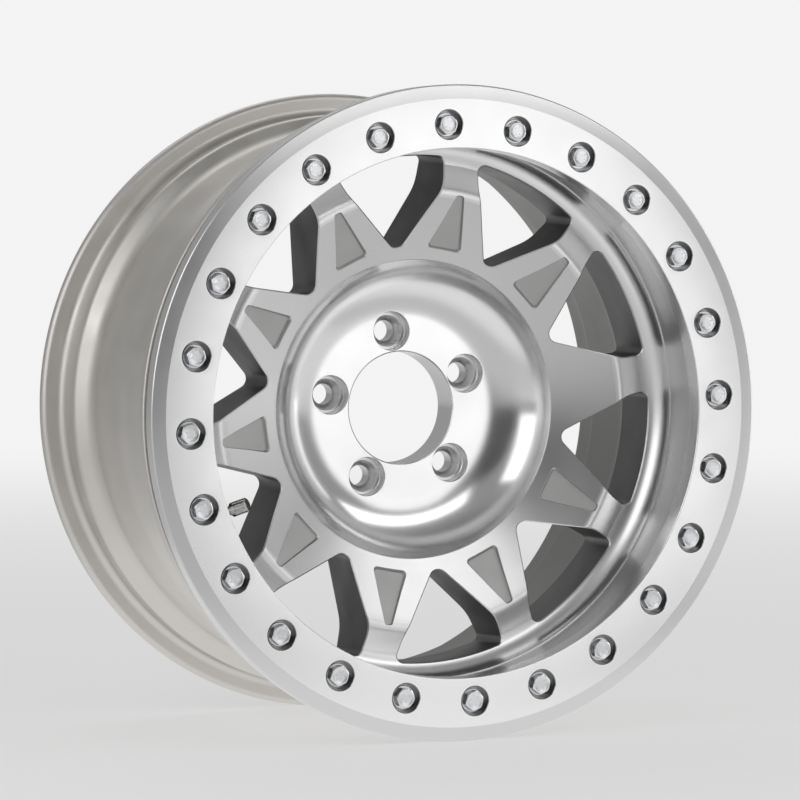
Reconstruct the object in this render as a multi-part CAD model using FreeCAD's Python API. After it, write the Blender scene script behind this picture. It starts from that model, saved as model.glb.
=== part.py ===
import FreeCAD, Part
import math
import os

# Off-road road wheel with a bolt-on bead clamp ring, 17 x 9 inch.
# Millimetres. The wheel turns about Y, its outboard face looks along -Y, +Z is up.
# The origin is the centre of the hub mounting face.
# A depth is measured inboard from the flat outer face of the clamp ring.

V = FreeCAD.Vector
AXIS_Y = V(0, 1, 0)

# Rim, from the size that the wheel is sold by
bead_seat_diameter = 436.6
rim_width = 228.6
wheel_offset = -12.0
flange_diameter = 470.0
clamp_depth = 12.5

# Clamp ring
ring_inner_diameter = 378.9
ring_flat_diameter = 449.4
ring_bevel_depth = 1.8
ring_corner = 1.6
ring_edge = 0.8
pilot_length = 3.0
pilot_clearance = 0.3
bead_grip_height = 1.5
bead_grip_width = 4.0

# Ring bolts and washers
bolt_circle = 412.75
bolt_count = 24
bolt_clock = -2.85
bolt_diameter = 8.0
bolt_hole_clearance = 0.5
thread_clearance = 0.1
bolt_reach = 20.0
hole_beyond_bolt = 3.0
head_across_flats = 13.0
head_height = 5.2
head_chamfer = 0.8
washer_diameter = 17.0
washer_thickness = 1.6
counterbore_diameter = 21.3
counterbore_depth = 7.0

# Hub
bore_diameter = 83.1
bore_chamfer = 0.8
lug_circle = 114.3
lug_count = 5
lug_clock = -7.6
lug_face_depth = 111.0
lug_counterbore_diameter = 28.6
lug_counterbore_depth = 9.0
lug_seat_diameter = 23.0
lug_seat_angle = 60.0
lug_hole_diameter = 15.5
pad_diameter = 150.0
relief_depth = 8.0
relief_width = 30.0
relief_inner_radius = 50.0
relief_outer_radius = 68.0

# Bowl round the hub and the face of the spokes
bowl_flat_radius = 67.0
bowl_round = 47.5
bowl_rim_radius = 109.5
face_angle = 20.0
crease_radius = 160.0
crease_round = 12.0
floor_angle = 23.0
dish_radius = 195.6
dish_round = 15.6
dish_step = 0.8

# Spokes, windows and pockets
spoke_count = 10
spoke_clock = 10.4
spoke_foot_half = 29.0
spoke_foot_radius = 126.7
spoke_taper = 21.4
spoke_end_half = 14.2
spoke_bend_round = 40.0
window_tip_round = 7.0
window_corner_round = 5.0
window_outer_radius = 184.0
window_draft = 3.0
spoke_back_depth = 122.0
hub_back_depth = 127.0
plain_spoke = 2
pocket_inner_radius = 118.5
pocket_outer_radius = 159.0
pocket_base_half = 13.4
pocket_tip_half = 1.6
pocket_round = 2.2
pocket_depth = 2.5
pocket_draft = 1.0
spoke_skin = 14.0
back_pocket_inner_half = 17.0
back_pocket_outer_half = 8.0
back_pocket_inner = 121.0
back_pocket_outer = 166.0
back_pocket_round = 6.0

# Barrel
shoulder_diameter = 463.0
shoulder_depth = 28.5
shoulder_width = 7.0
well_diameter = 398.0
well_start_depth = 57.0
well_end_depth = 108.0
ramp_end_depth = 148.0
barrel_diameter = 414.0
barrel_wall = 6.5
hump_depth = 217.0
hump_height = 1.5
hump_half_width = 5.0
back_flange_width = 10.0
back_flange_lip = 21.0
edge_round = 1.5
seat_round = 3.0
seat_lead = 2.0
well_round = 12.0
ramp_round = 60.0

# Tyre valve, clamped through the wall of the well
valve_clock = 244.2
valve_tilt = 40.0
valve_radius = 192.5
valve_depth = 108.6
valve_hole_diameter = 11.5
valve_wall_outer = 3.5
valve_wall_inner = 4.5
well_wall = 20.0
valve_spotface_diameter = 17.5
stem_diameter = 8.0
stem_clearance = 0.1
stem_length = 50.5
stem_neck_diameter = 6.6
stem_neck_margin = 2.0
stem_flange_diameter = 16.0
stem_flange_thickness = 2.5
stem_bore_diameter = 3.6
core_bore_diameter = 5.6
core_bore_length = 24.0
grommet_thickness = 2.2
grommet_clearance = 0.2
valve_washer_diameter = 16.0
valve_washer_thickness = 1.5
valve_nut_flats = 12.0
valve_nut_height = 5.0
cap_diameter = 10.6
cap_length = 13.0
cap_flutes = 12
cap_flute_radius = 0.7
cap_plain_length = 2.5
cap_clearance = 0.1
cap_top = 3.0
cap_gasket_thickness = 1.0
core_clearance = 0.05
core_length = 8.0
core_recess = 4.0
core_hole_diameter = 2.4
core_gasket_width = 2.0
core_gasket_radial = 0.6
pin_diameter = 1.6
pin_recess = 0.5
pin_collar_diameter = 3.0
pin_collar_height = 0.8
poppet_diameter = 3.4
poppet_height = 1.6
poppet_gap = 0.3
poppet_seal_height = 0.8
spring_bore_diameter = 4.0
spring_length = 4.5
spring_wire = 0.4
spring_turns = 4
spring_clearance = 0.3

# Worked out from the sizes above
bead_radius = bead_seat_diameter / 2
flange_radius = flange_diameter / 2
back_flange_depth = clamp_depth + rim_width
hub_face_depth = clamp_depth + rim_width / 2 - wheel_offset
bolt_radius = bolt_circle / 2
lug_radius = lug_circle / 2
bore_radius = bore_diameter / 2
well_radius = well_diameter / 2
barrel_radius = barrel_diameter / 2
dish_front_radius = dish_radius + dish_step
bowl_rim_depth = lug_face_depth - bowl_round + math.sqrt(
    bowl_round ** 2 - (bowl_rim_radius - bowl_flat_radius) ** 2)
face_slope = math.tan(math.radians(face_angle))
crease_depth = bowl_rim_depth - face_slope * (crease_radius - bowl_rim_radius)
floor_end_radius = dish_radius - dish_round
floor_depth = crease_depth + math.tan(math.radians(floor_angle)) * (floor_end_radius - crease_radius)
step_depth = floor_depth - dish_round
spoke_pitch = 360.0 / spoke_count
window_front_depth = crease_depth - dish_round
window_back_flare = (spoke_back_depth - window_front_depth) * math.tan(math.radians(window_draft))


def at_depth(depth):
    """Place along Y of a depth behind the ring face."""
    return depth - hub_face_depth


def section_point(radius, depth):
    return V(radius, at_depth(depth), 0)


def line(a, b):
    return Part.LineSegment(a, b).toShape()


def arc_about(centre, start, end):
    """Short arc from start to end round a centre at equal distances from both."""
    middle = (start + end) * 0.5 - centre
    middle.normalize()
    return Part.Arc(start, centre + middle * (start - centre).Length, end).toShape()


def rounded_edges(corners, closed=True):
    """Edges through (point, radius) corners, with tangent arcs at the rounded ones."""
    count = len(corners)
    ends = []
    for index, (point, radius) in enumerate(corners):
        if radius == 0 or (not closed and index in (0, count - 1)):
            ends.append((point, None, point))
            continue
        before = corners[index - 1][0] - point
        after = corners[(index + 1) % count][0] - point
        before.normalize()
        after.normalize()
        half = before.getAngle(after) / 2
        reach = radius / math.tan(half)
        bisector = before + after
        bisector.normalize()
        centre = point + bisector * (radius / math.sin(half))
        ends.append((point + before * reach, centre - bisector * radius, point + after * reach))
    edges = []
    for index, (start, middle, end) in enumerate(ends):
        if middle is not None:
            edges.append(Part.Arc(start, middle, end).toShape())
        if index + 1 < count or closed:
            edges.append(line(end, ends[(index + 1) % count][0]))
    return edges


def rounded_wire(corners):
    return Part.Wire(rounded_edges(corners))


def revolved(edges):
    """Solid of revolution about the wheel's axis from the edges of its half section."""
    return Part.Face(Part.Wire(edges)).revolve(V(0, 0, 0), AXIS_Y, 360)


def section_corners(corners):
    return [(section_point(radius, depth), rounding) for radius, depth, rounding in corners]


def clocked(shape, degrees):
    """Copy turned clockwise from the top, seen from outboard."""
    turned = shape.copy()
    turned.rotate(V(0, 0, 0), AXIS_Y, degrees)
    return turned


def rod(radius, start_depth, end_depth, at_radius=0.0):
    """Cylinder along the wheel's axis between two depths, at 12 o'clock."""
    return Part.makeCylinder(radius, end_depth - start_depth, V(0, at_depth(start_depth), at_radius), AXIS_Y)


def hexagon(across_flats, height, base, direction):
    """Hexagonal prism standing on a point."""
    circle = across_flats / 2 / math.cos(math.radians(30))
    corners = [V(circle * math.cos(math.radians(60 * k)), circle * math.sin(math.radians(60 * k)), 0)
               for k in range(6)]
    prism = Part.Face(Part.makePolygon(corners + corners[:1])).extrude(V(0, 0, height))
    prism.Placement = FreeCAD.Placement(base, FreeCAD.Rotation(V(0, 0, 1), direction))
    return prism


def spoke_point(along, across, depth, side=1):
    """Point on the spoke at 12 o'clock, across it towards its neighbour on one side."""
    return V(side * across, at_depth(depth), along)


# Valve axis: leaves the wall of the well inwards and outboard
tilt = math.radians(valve_tilt)
clock = math.radians(valve_clock)
valve_out = V(-math.sin(clock) * math.cos(tilt), -math.sin(tilt), -math.cos(clock) * math.cos(tilt))
valve_centre = V(valve_radius * math.sin(clock), at_depth(valve_depth), valve_radius * math.cos(clock))


def on_valve(distance):
    """Point on the valve's axis, positive towards the cap."""
    return valve_centre + valve_out * distance


def valve_rod(diameter, start, end):
    return Part.makeCylinder(diameter / 2, end - start, on_valve(start), valve_out)


def valve_ring(outer, inner, start, end):
    return valve_rod(outer, start, end).cut(valve_rod(inner, start - 1, end + 1))


def window_cutter():
    """Prism of one window, between the spokes on either side of 12 o'clock."""
    slope = math.tan(math.radians(spoke_taper))
    bend_along = spoke_foot_radius + (spoke_foot_half - spoke_end_half) / slope
    half_pitch = math.radians(spoke_pitch / 2)
    front = window_front_depth

    def flank(along, across, side):
        u = V(side * math.sin(half_pitch), 0, math.cos(half_pitch))
        v = V(-side * math.cos(half_pitch), 0, math.sin(half_pitch))
        return u * along + v * across + V(0, at_depth(front), 0)

    # The two flanks meet on the window's centre line
    across_at_axis = spoke_foot_half + slope * spoke_foot_radius
    vertex_along = across_at_axis / (slope + math.tan(half_pitch))
    tip = flank(vertex_along, vertex_along * math.tan(half_pitch), 1)
    tip.x = 0
    overrun = window_outer_radius + 4 * window_corner_round
    wedge = Part.Face(rounded_wire([
        (tip, window_tip_round),
        (flank(bend_along, spoke_end_half, 1), spoke_bend_round),
        (flank(overrun, spoke_end_half, 1), 0),
        (flank(overrun, spoke_end_half, -1), 0),
        (flank(bend_along, spoke_end_half, -1), spoke_bend_round),
    ]))
    length = hub_face_depth - front
    flare = length * math.tan(math.radians(window_draft))
    limit = Part.makeCone(window_outer_radius, window_outer_radius + flare, length,
                          V(0, at_depth(front), 0), AXIS_Y)
    prism = wedge.extrude(V(0, length, 0)).common(limit)
    corners = [edge for edge in prism.Edges
               if abs(edge.tangentAt(edge.FirstParameter).y) > 0.9
               and math.hypot(edge.CenterOfMass.x, edge.CenterOfMass.z) > window_outer_radius - 1]
    return prism.makeFillet(window_corner_round, corners)


def pocket_cutter():
    """Shallow rounded triangle sunk square into the sloping face of the spoke at 12 o'clock."""
    incline = math.radians(face_angle)
    along = V(0, -math.sin(incline), math.cos(incline))
    outward = V(0, -math.cos(incline), -math.sin(incline))
    foot = spoke_point(bowl_rim_radius, 0, bowl_rim_depth)
    inner = (pocket_inner_radius - bowl_rim_radius) / math.cos(incline)
    outer = (pocket_outer_radius - bowl_rim_radius) / math.cos(incline)

    def outline(height, shrink):
        """Triangle with a blunt tip, drawn in by its draft."""
        def place(distance, across):
            return foot + along * distance + V(across, 0, 0) + outward * height
        base = pocket_base_half - shrink
        blunt = pocket_tip_half
        return rounded_wire([
            (place(inner + shrink, -base), pocket_round),
            (place(inner + shrink, base), pocket_round),
            (place(outer - shrink, blunt), blunt * 0.6),
            (place(outer - shrink, -blunt), blunt * 0.6),
        ])

    return Part.makeLoft([outline(-pocket_depth, pocket_draft), outline(pocket_depth, -pocket_draft)], True, True)


def back_pocket_cutter():
    """Hollow in the back of the spoke at 12 o'clock, leaving a skin behind its sloping face."""
    def corner(along, across, side):
        face = bowl_rim_depth - face_slope * (along - bowl_rim_radius)
        return spoke_point(along, across, face + spoke_skin, side), back_pocket_round

    outline = rounded_wire([
        corner(back_pocket_inner, back_pocket_inner_half, -1),
        corner(back_pocket_outer, back_pocket_outer_half, -1),
        corner(back_pocket_outer, back_pocket_outer_half, 1),
        corner(back_pocket_inner, back_pocket_inner_half, 1),
    ])
    return Part.Face(outline).extrude(V(0, hub_face_depth, 0))


def lug_cutter():
    """Counterbore, cone seat and through hole of the lug at 12 o'clock."""
    seat_depth = lug_face_depth + lug_counterbore_depth
    drop = (lug_seat_diameter - lug_hole_diameter) / 2 / math.tan(math.radians(lug_seat_angle / 2))
    counterbore = rod(lug_counterbore_diameter / 2, bowl_rim_depth, seat_depth, lug_radius)
    cone = Part.makeCone(lug_seat_diameter / 2, lug_hole_diameter / 2, drop,
                         V(0, at_depth(seat_depth), lug_radius), AXIS_Y)
    hole = rod(lug_hole_diameter / 2, seat_depth, hub_face_depth + 1, lug_radius)
    return counterbore.fuse([cone, hole])


def relief_cutter():
    """Hollow in the mounting pad between two lug holes, at 12 o'clock."""
    bottom = hub_face_depth - relief_depth
    half = relief_width / 2
    corner = relief_width / 5
    outline = rounded_wire([
        (spoke_point(relief_inner_radius, half, bottom, -1), corner),
        (spoke_point(relief_outer_radius, half, bottom, -1), corner),
        (spoke_point(relief_outer_radius, half, bottom, 1), corner),
        (spoke_point(relief_inner_radius, half, bottom, 1), corner),
    ])
    return Part.Face(outline).extrude(V(0, relief_depth + 1, 0))


def wheel_blank():
    """Turned form of the casting: hub bowl, spoke disc, dish, bead seats, well and barrel."""
    flat_end = section_point(bowl_flat_radius, lug_face_depth)
    bowl_centre = section_point(bowl_flat_radius, lug_face_depth - bowl_round)
    rim = section_point(bowl_rim_radius, bowl_rim_depth)
    floor_end = section_point(floor_end_radius, floor_depth)
    dish_centre = section_point(floor_end_radius, step_depth)
    wall_start = section_point(dish_radius, step_depth)
    bore_front = section_point(bore_radius, lug_face_depth + bore_chamfer)
    bore_edge = section_point(bore_radius + bore_chamfer, lug_face_depth)
    step_edge = section_point(dish_front_radius, step_depth)
    hub_edges = [
        line(bore_front, bore_edge),
        line(bore_edge, flat_end),
        arc_about(bowl_centre, flat_end, rim),
    ]
    spoke_edges = rounded_edges(section_corners([
        (bowl_rim_radius, bowl_rim_depth, 0),
        (crease_radius, crease_depth, crease_round),
        (floor_end_radius, floor_depth, 0),
    ]), closed=False)
    dish_edges = [
        arc_about(dish_centre, floor_end, wall_start),
        line(wall_start, step_edge),
    ]
    front = hub_edges + spoke_edges + dish_edges
    shoulder = shoulder_diameter / 2
    hump_radius = bead_radius + hump_height
    hump_end = hump_depth + hump_half_width
    hump_start = hump_depth - 2 * hump_half_width
    flange_back = back_flange_depth + back_flange_width
    flange_round = back_flange_width * 0.45
    barrel_inner = barrel_radius - barrel_wall
    back = [
        (dish_front_radius, step_depth, 0),
        (dish_front_radius, clamp_depth, 0),
        (bead_radius - seat_lead, clamp_depth, 0),
        (bead_radius, clamp_depth + seat_lead, 0),
        (bead_radius, shoulder_depth, seat_round),
        (shoulder, shoulder_depth, edge_round),
        (shoulder, shoulder_depth + shoulder_width, edge_round),
        (well_radius, well_start_depth, well_round),
        (well_radius, well_end_depth, ramp_round),
        (barrel_radius, ramp_end_depth, ramp_round),
        (barrel_radius, hump_start, seat_round),
        (hump_radius, hump_depth, hump_half_width / 2),
        (bead_radius, hump_end, seat_round),
        (bead_radius, back_flange_depth, 2 * seat_round),
        (flange_radius, back_flange_depth, flange_round),
        (flange_radius, flange_back, flange_round),
        (flange_radius - back_flange_lip, flange_back, seat_round),
        (bead_radius - barrel_wall, hump_end, well_round),
        (barrel_inner, hump_start - hump_half_width, well_round),
        (barrel_inner, ramp_end_depth + barrel_wall, well_round),
        (window_outer_radius + window_back_flare, spoke_back_depth, seat_round),
        (pad_diameter / 2 + seat_round, hub_back_depth, seat_round),
        (pad_diameter / 2, hub_face_depth, edge_round),
        (bore_radius + bore_chamfer, hub_face_depth, 0),
        (bore_radius, hub_face_depth - bore_chamfer, 0),
        (bore_radius, lug_face_depth + bore_chamfer, 0),
    ]
    return revolved(front + rounded_edges(section_corners(back), closed=False))


def wheel():
    """The one-piece casting, machined."""
    window = window_cutter()
    pocket = pocket_cutter()
    back_pocket = back_pocket_cutter()
    lug = lug_cutter()
    relief = relief_cutter()
    thread = rod(bolt_diameter / 2 + thread_clearance, clamp_depth - 1,
                 clamp_depth + bolt_reach + hole_beyond_bolt, bolt_radius)
    cutters = []
    for k in range(spoke_count):
        spoke_at = spoke_clock + k * spoke_pitch
        cutters.append(clocked(window, spoke_at + spoke_pitch / 2))
        cutters.append(clocked(back_pocket, spoke_at))
        if k != plain_spoke:
            cutters.append(clocked(pocket, spoke_at))
    for k in range(lug_count):
        lug_at = lug_clock + k * 360.0 / lug_count
        cutters.append(clocked(lug, lug_at))
        cutters.append(clocked(relief, lug_at + 180.0 / lug_count))
    cutters += ring_of(thread, bolt_count, bolt_clock)
    cutters.append(valve_rod(valve_hole_diameter, -well_wall, well_wall))
    cutters.append(valve_rod(valve_spotface_diameter, -well_wall, -valve_wall_outer))
    cutters.append(valve_rod(valve_spotface_diameter, valve_wall_inner, valve_wall_inner + well_wall))
    return wheel_blank().cut(cutters)


def ring_of(shape, count, start):
    """Copies of a shape at equal steps round the wheel's axis."""
    return [clocked(shape, start + k * 360.0 / count) for k in range(count)]


def clamp_ring():
    """Flat bevelled ring that grips the tyre's outer bead, piloted in the dish."""
    inner = ring_inner_diameter / 2
    pilot = dish_front_radius - pilot_clearance
    grip_outer = flange_radius - bead_grip_width
    grip_inner = grip_outer - bead_grip_width
    pilot_end = clamp_depth + pilot_length
    outline = rounded_edges(section_corners([
        (inner, 0, ring_edge),
        (ring_flat_diameter / 2, 0, 0),
        (flange_radius, ring_bevel_depth, ring_corner),
        (flange_radius, clamp_depth, ring_edge),
        (grip_outer, clamp_depth, 0),
        (grip_outer - bead_grip_height, clamp_depth + bead_grip_height, 0),
        (grip_inner, clamp_depth + bead_grip_height, 0),
        (grip_inner - bead_grip_height, clamp_depth, 0),
        (pilot, clamp_depth, 0),
        (pilot, pilot_end, ring_edge),
        (inner, pilot_end, ring_edge),
    ]))
    counterbore = rod(counterbore_diameter / 2, -1, counterbore_depth, bolt_radius)
    hole = rod(bolt_diameter / 2 + bolt_hole_clearance, 0, clamp_depth + 1, bolt_radius)
    return revolved(outline).cut(ring_of(counterbore.fuse(hole), bolt_count, bolt_clock))


def ring_bolts():
    """Hex bolts that draw the ring on to the casting, heads sunk in their counterbores."""
    seat = counterbore_depth - washer_thickness
    top = seat - head_height
    prism = hexagon(head_across_flats, head_height, V(0, at_depth(seat), bolt_radius), V(0, -1, 0))
    crown = head_across_flats / 2 - head_chamfer / 2
    flare = crown + head_height / math.tan(math.radians(30))
    cone = Part.makeCone(crown, flare, head_height, V(0, at_depth(top), bolt_radius), AXIS_Y)
    shank = rod(bolt_diameter / 2, seat, clamp_depth + bolt_reach, bolt_radius)
    return ring_of(prism.common(cone).fuse(shank).removeSplitter(), bolt_count, bolt_clock)


def ring_washers():
    """Flat washers under the bolt heads."""
    seat = counterbore_depth - washer_thickness
    disc = rod(washer_diameter / 2, seat, counterbore_depth, bolt_radius)
    hole = rod(bolt_diameter / 2 + thread_clearance, seat - 1, counterbore_depth + 1, bolt_radius)
    return ring_of(disc.cut(hole), bolt_count, bolt_clock)


# Stations along the valve's axis, from the tyre side to the cap
grommet_start = -valve_wall_outer - grommet_thickness
stem_start = grommet_start - stem_flange_thickness
nut_start = valve_wall_inner + valve_washer_thickness
nut_end = nut_start + valve_nut_height
core_end = stem_length - core_recess
core_start = core_end - core_length
core_tail_start = core_start - core_gasket_width
poppet_top = core_tail_start - poppet_gap
poppet_seal_start = poppet_top - poppet_seal_height
poppet_start = poppet_seal_start - poppet_height
spring_seat = core_end - spring_length
collar_start = core_end + spring_clearance


def valve_stem():
    """Flanged metal stem, bored for its core."""
    body = valve_rod(stem_diameter, stem_start, stem_length)
    flange = valve_rod(stem_flange_diameter, stem_start, grommet_start)
    neck = valve_ring(stem_diameter + 1, stem_neck_diameter, nut_end + stem_neck_margin,
                      stem_length - cap_length + cap_top)
    through = valve_rod(stem_bore_diameter, stem_start - 1, stem_length + 1)
    core_bore = valve_rod(core_bore_diameter, stem_length - core_bore_length, stem_length + 1)
    return body.fuse(flange).cut([neck, through, core_bore]).removeSplitter()


def valve_grommet():
    """Rubber seal between the stem's flange and the wall, with a sleeve into the hole."""
    stem = stem_diameter + 2 * stem_clearance
    face = valve_ring(stem_flange_diameter, stem, grommet_start, -valve_wall_outer)
    sleeve = valve_ring(valve_hole_diameter - 2 * grommet_clearance, stem,
                        -valve_wall_outer, valve_wall_inner - grommet_clearance)
    return face.fuse(sleeve).removeSplitter()


def valve_washer():
    return valve_ring(valve_washer_diameter, stem_diameter + 2 * stem_clearance, valve_wall_inner, nut_start)


def valve_nut():
    prism = hexagon(valve_nut_flats, valve_nut_height, on_valve(nut_start), valve_out)
    return prism.cut(valve_rod(stem_diameter + 2 * stem_clearance, nut_start - 1, nut_end + 1))


def valve_cap():
    """Fluted metal cap, screwed home on the stem."""
    start = stem_length + cap_gasket_thickness + cap_top - cap_length
    end = start + cap_length
    shell = valve_rod(cap_diameter, start, end)
    rim = [edge for edge in shell.Edges if edge.Closed and edge.CenterOfMass.distanceToPoint(on_valve(end)) < 1]
    shell = shell.makeChamfer(cap_diameter / 10, rim)
    hollow = valve_rod(stem_diameter + 2 * cap_clearance, start - 1, end - cap_top)
    side = valve_out.cross(AXIS_Y)
    side.normalize()
    flutes = []
    for k in range(cap_flutes):
        turn = FreeCAD.Rotation(valve_out, 360.0 * k / cap_flutes)
        spot = on_valve(start + cap_plain_length) + turn.multVec(side) * (cap_diameter / 2)
        flutes.append(Part.makeCylinder(cap_flute_radius, cap_length, spot, valve_out))
    return shell.cut([hollow] + flutes)


def cap_gasket():
    return valve_rod(stem_diameter, stem_length, stem_length + cap_gasket_thickness)


def valve_core():
    """Brass core screwed into the stem, with a tail for its gasket and a seat for the spring."""
    body = valve_rod(core_bore_diameter - 2 * core_clearance, core_start, core_end)
    tail = valve_rod(core_bore_diameter - 2 * core_gasket_radial, core_tail_start, core_start)
    hole = valve_rod(core_hole_diameter, core_tail_start - 1, core_end + 1)
    spring_bore = valve_rod(spring_bore_diameter, spring_seat, core_end + 1)
    return body.fuse(tail).cut([hole, spring_bore]).removeSplitter()


def core_gasket():
    return valve_ring(core_bore_diameter - 2 * core_clearance, core_bore_diameter - 2 * core_gasket_radial,
                      core_tail_start, core_start)


def valve_pin():
    """Pin through the core, with a collar for the spring and a poppet that shuts on the tail."""
    pin = valve_rod(pin_diameter, poppet_start, stem_length - pin_recess)
    collar = valve_rod(pin_collar_diameter, collar_start, collar_start + pin_collar_height)
    poppet = valve_rod(poppet_diameter, poppet_start, poppet_seal_start)
    return pin.fuse([collar, poppet]).removeSplitter()


def poppet_seal():
    return valve_ring(poppet_diameter, pin_diameter, poppet_seal_start, poppet_top)


def core_spring():
    """Coil of square wire that holds the poppet shut."""
    mean_radius = (pin_diameter + spring_bore_diameter) / 4
    half = spring_wire / 2
    length = spring_length - spring_wire
    helix = Part.makeHelix(length / spring_turns, length, mean_radius)
    inside = mean_radius - half
    outside = mean_radius + half
    section = Part.makePolygon([
        V(inside, 0, -half), V(outside, 0, -half), V(outside, 0, half), V(inside, 0, half), V(inside, 0, -half)])
    coil = Part.Wire(helix.Edges).makePipeShell([section], True, True)
    coil.Placement = FreeCAD.Placement(on_valve(spring_seat + half), FreeCAD.Rotation(V(0, 0, 1), valve_out))
    return coil


pieces = {
    "wheel": [wheel()],
    "clamp_ring": [clamp_ring()],
    "ring_bolts": ring_bolts(),
    "ring_washers": ring_washers(),
    "valve_stem": [valve_stem()],
    "valve_grommet": [valve_grommet()],
    "valve_washer": [valve_washer()],
    "valve_nut": [valve_nut()],
    "valve_cap": [valve_cap()],
    "cap_gasket": [cap_gasket()],
    "valve_core": [valve_core()],
    "core_gasket": [core_gasket()],
    "core_spring": [core_spring()],
    "valve_pin": [valve_pin()],
    "poppet_seal": [poppet_seal()],
}

os.makedirs("parts", exist_ok=True)
for name, shapes in pieces.items():
    solids = [solid for shape in shapes for solid in shape.Solids]
    node = solids[0] if len(solids) == 1 else Part.makeCompound(solids)
    node.exportStep("parts/" + name + ".step")
    print(name, len(solids), "solids", round(node.Volume / 1000, 2), "cm3", node.isValid())
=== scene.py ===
import math

import bmesh
import bpy
from mathutils import Matrix, Vector


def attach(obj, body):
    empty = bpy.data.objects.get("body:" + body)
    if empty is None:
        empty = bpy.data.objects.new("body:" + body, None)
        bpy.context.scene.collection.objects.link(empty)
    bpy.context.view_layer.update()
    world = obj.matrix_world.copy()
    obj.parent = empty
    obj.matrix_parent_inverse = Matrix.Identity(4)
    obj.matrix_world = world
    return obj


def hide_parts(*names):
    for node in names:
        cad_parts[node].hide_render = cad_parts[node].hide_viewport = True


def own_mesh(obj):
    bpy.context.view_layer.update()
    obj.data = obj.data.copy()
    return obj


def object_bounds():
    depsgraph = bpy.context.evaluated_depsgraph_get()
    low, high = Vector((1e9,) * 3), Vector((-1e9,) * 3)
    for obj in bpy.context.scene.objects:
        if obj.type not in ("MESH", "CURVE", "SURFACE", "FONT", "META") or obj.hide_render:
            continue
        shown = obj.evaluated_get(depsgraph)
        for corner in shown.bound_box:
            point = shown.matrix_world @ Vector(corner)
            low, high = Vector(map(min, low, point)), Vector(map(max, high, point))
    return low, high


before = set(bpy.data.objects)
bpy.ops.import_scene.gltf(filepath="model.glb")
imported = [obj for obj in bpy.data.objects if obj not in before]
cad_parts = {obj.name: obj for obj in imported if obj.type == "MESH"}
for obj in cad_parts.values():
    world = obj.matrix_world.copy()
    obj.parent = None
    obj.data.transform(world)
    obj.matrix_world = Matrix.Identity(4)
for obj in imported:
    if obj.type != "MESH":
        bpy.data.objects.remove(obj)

CAD_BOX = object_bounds()

bl_info = {
    "name": "Clamp-ring car wheel",
    "version": (1, 0, 0),
    "blender": (4, 2, 0),
    "location": "3D View > Sidebar > Wheel",
    "description": "Dresses a car wheel with a bolted clamp ring in its machined and cast finishes",
    "category": "Object",
}

MM = 0.001
ARC_STEP = math.radians(7)
SHARP_ANGLE = math.radians(24)
OVERALL = (CAD_BOX[1] - CAD_BOX[0]) / MM
BODY = "wheel_body"


def length(label, text, millimetres):
    return bpy.props.FloatProperty(name=label, description=text, default=millimetres * MM, unit="LENGTH",
                                   precision=5)


def turn(label, text, degrees):
    return bpy.props.FloatProperty(name=label, description=text, default=math.radians(degrees),
                                   subtype="ANGLE")


def number(label, text, count):
    return bpy.props.IntProperty(name=label, description=text, default=count, min=1)


def share(label, text, value):
    return bpy.props.FloatProperty(name=label, description=text, default=value, min=0, max=1,
                                   subtype="FACTOR")


def tint(label, text, red, green, blue):
    return bpy.props.FloatVectorProperty(name=label, description=text, default=(red, green, blue), size=3,
                                         min=0, max=1, subtype="COLOR")


class WheelRimSizes(bpy.types.PropertyGroup):
    """Sizes of the rim and barrel; depths run inboard from the ring's flat face."""
    flange_diameter: length("Flange diameter", "Outer diameter of the wheel", OVERALL.x)
    bead_seat_diameter: length("Bead seat diameter", "Diameter that the tyre's beads sit on", 436.6)
    rim_width: length("Rim width", "Distance between the two bead flanges", 228.6)
    clamp_depth: length("Clamp depth", "Depth of the face that the ring is bolted to", 12.5)
    hub_face_depth: length("Hub face depth", "Depth of the mounting face", -CAD_BOX[0].y / MM)
    shoulder_diameter: length("Shoulder diameter", "Collar behind the outer bead", 463)
    shoulder_depth: length("Shoulder depth", "Depth of the collar's outer side", 28.5)
    shoulder_width: length("Shoulder width", "Width of the collar", 7)
    well_diameter: length("Well diameter", "Drop centre of the rim", 398)
    well_start_depth: length("Well start", "Depth where the drop centre starts", 57)
    well_end_depth: length("Well end", "Depth where the drop centre ends", 108)
    ramp_end_depth: length("Ramp end", "Depth where the barrel reaches its full diameter", 148)
    ramp_round: length("Ramp round", "Round at both ends of the barrel's ramp", 60)
    barrel_diameter: length("Barrel diameter", "Outside of the barrel", 414)
    barrel_wall: length("Barrel wall", "Thickness of the barrel", 6.5)
    hump_depth: length("Hump depth", "Depth of the safety hump", 217)
    hump_height: length("Hump height", "Height of the safety hump", 1.5)
    hump_half_width: length("Hump half width", "Half the width of the safety hump", 5)
    hump_foot_round: length("Hump foot round", "Round where the safety hump starts to rise", 16)
    hump_crest_round: length("Hump crest round", "Round of the safety hump's crest", 6)
    back_flange_width: length("Back flange", "Width of the inboard flange", 10)
    back_flange_lip: length("Back lip", "Radial height of the inboard flange", 21)


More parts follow.
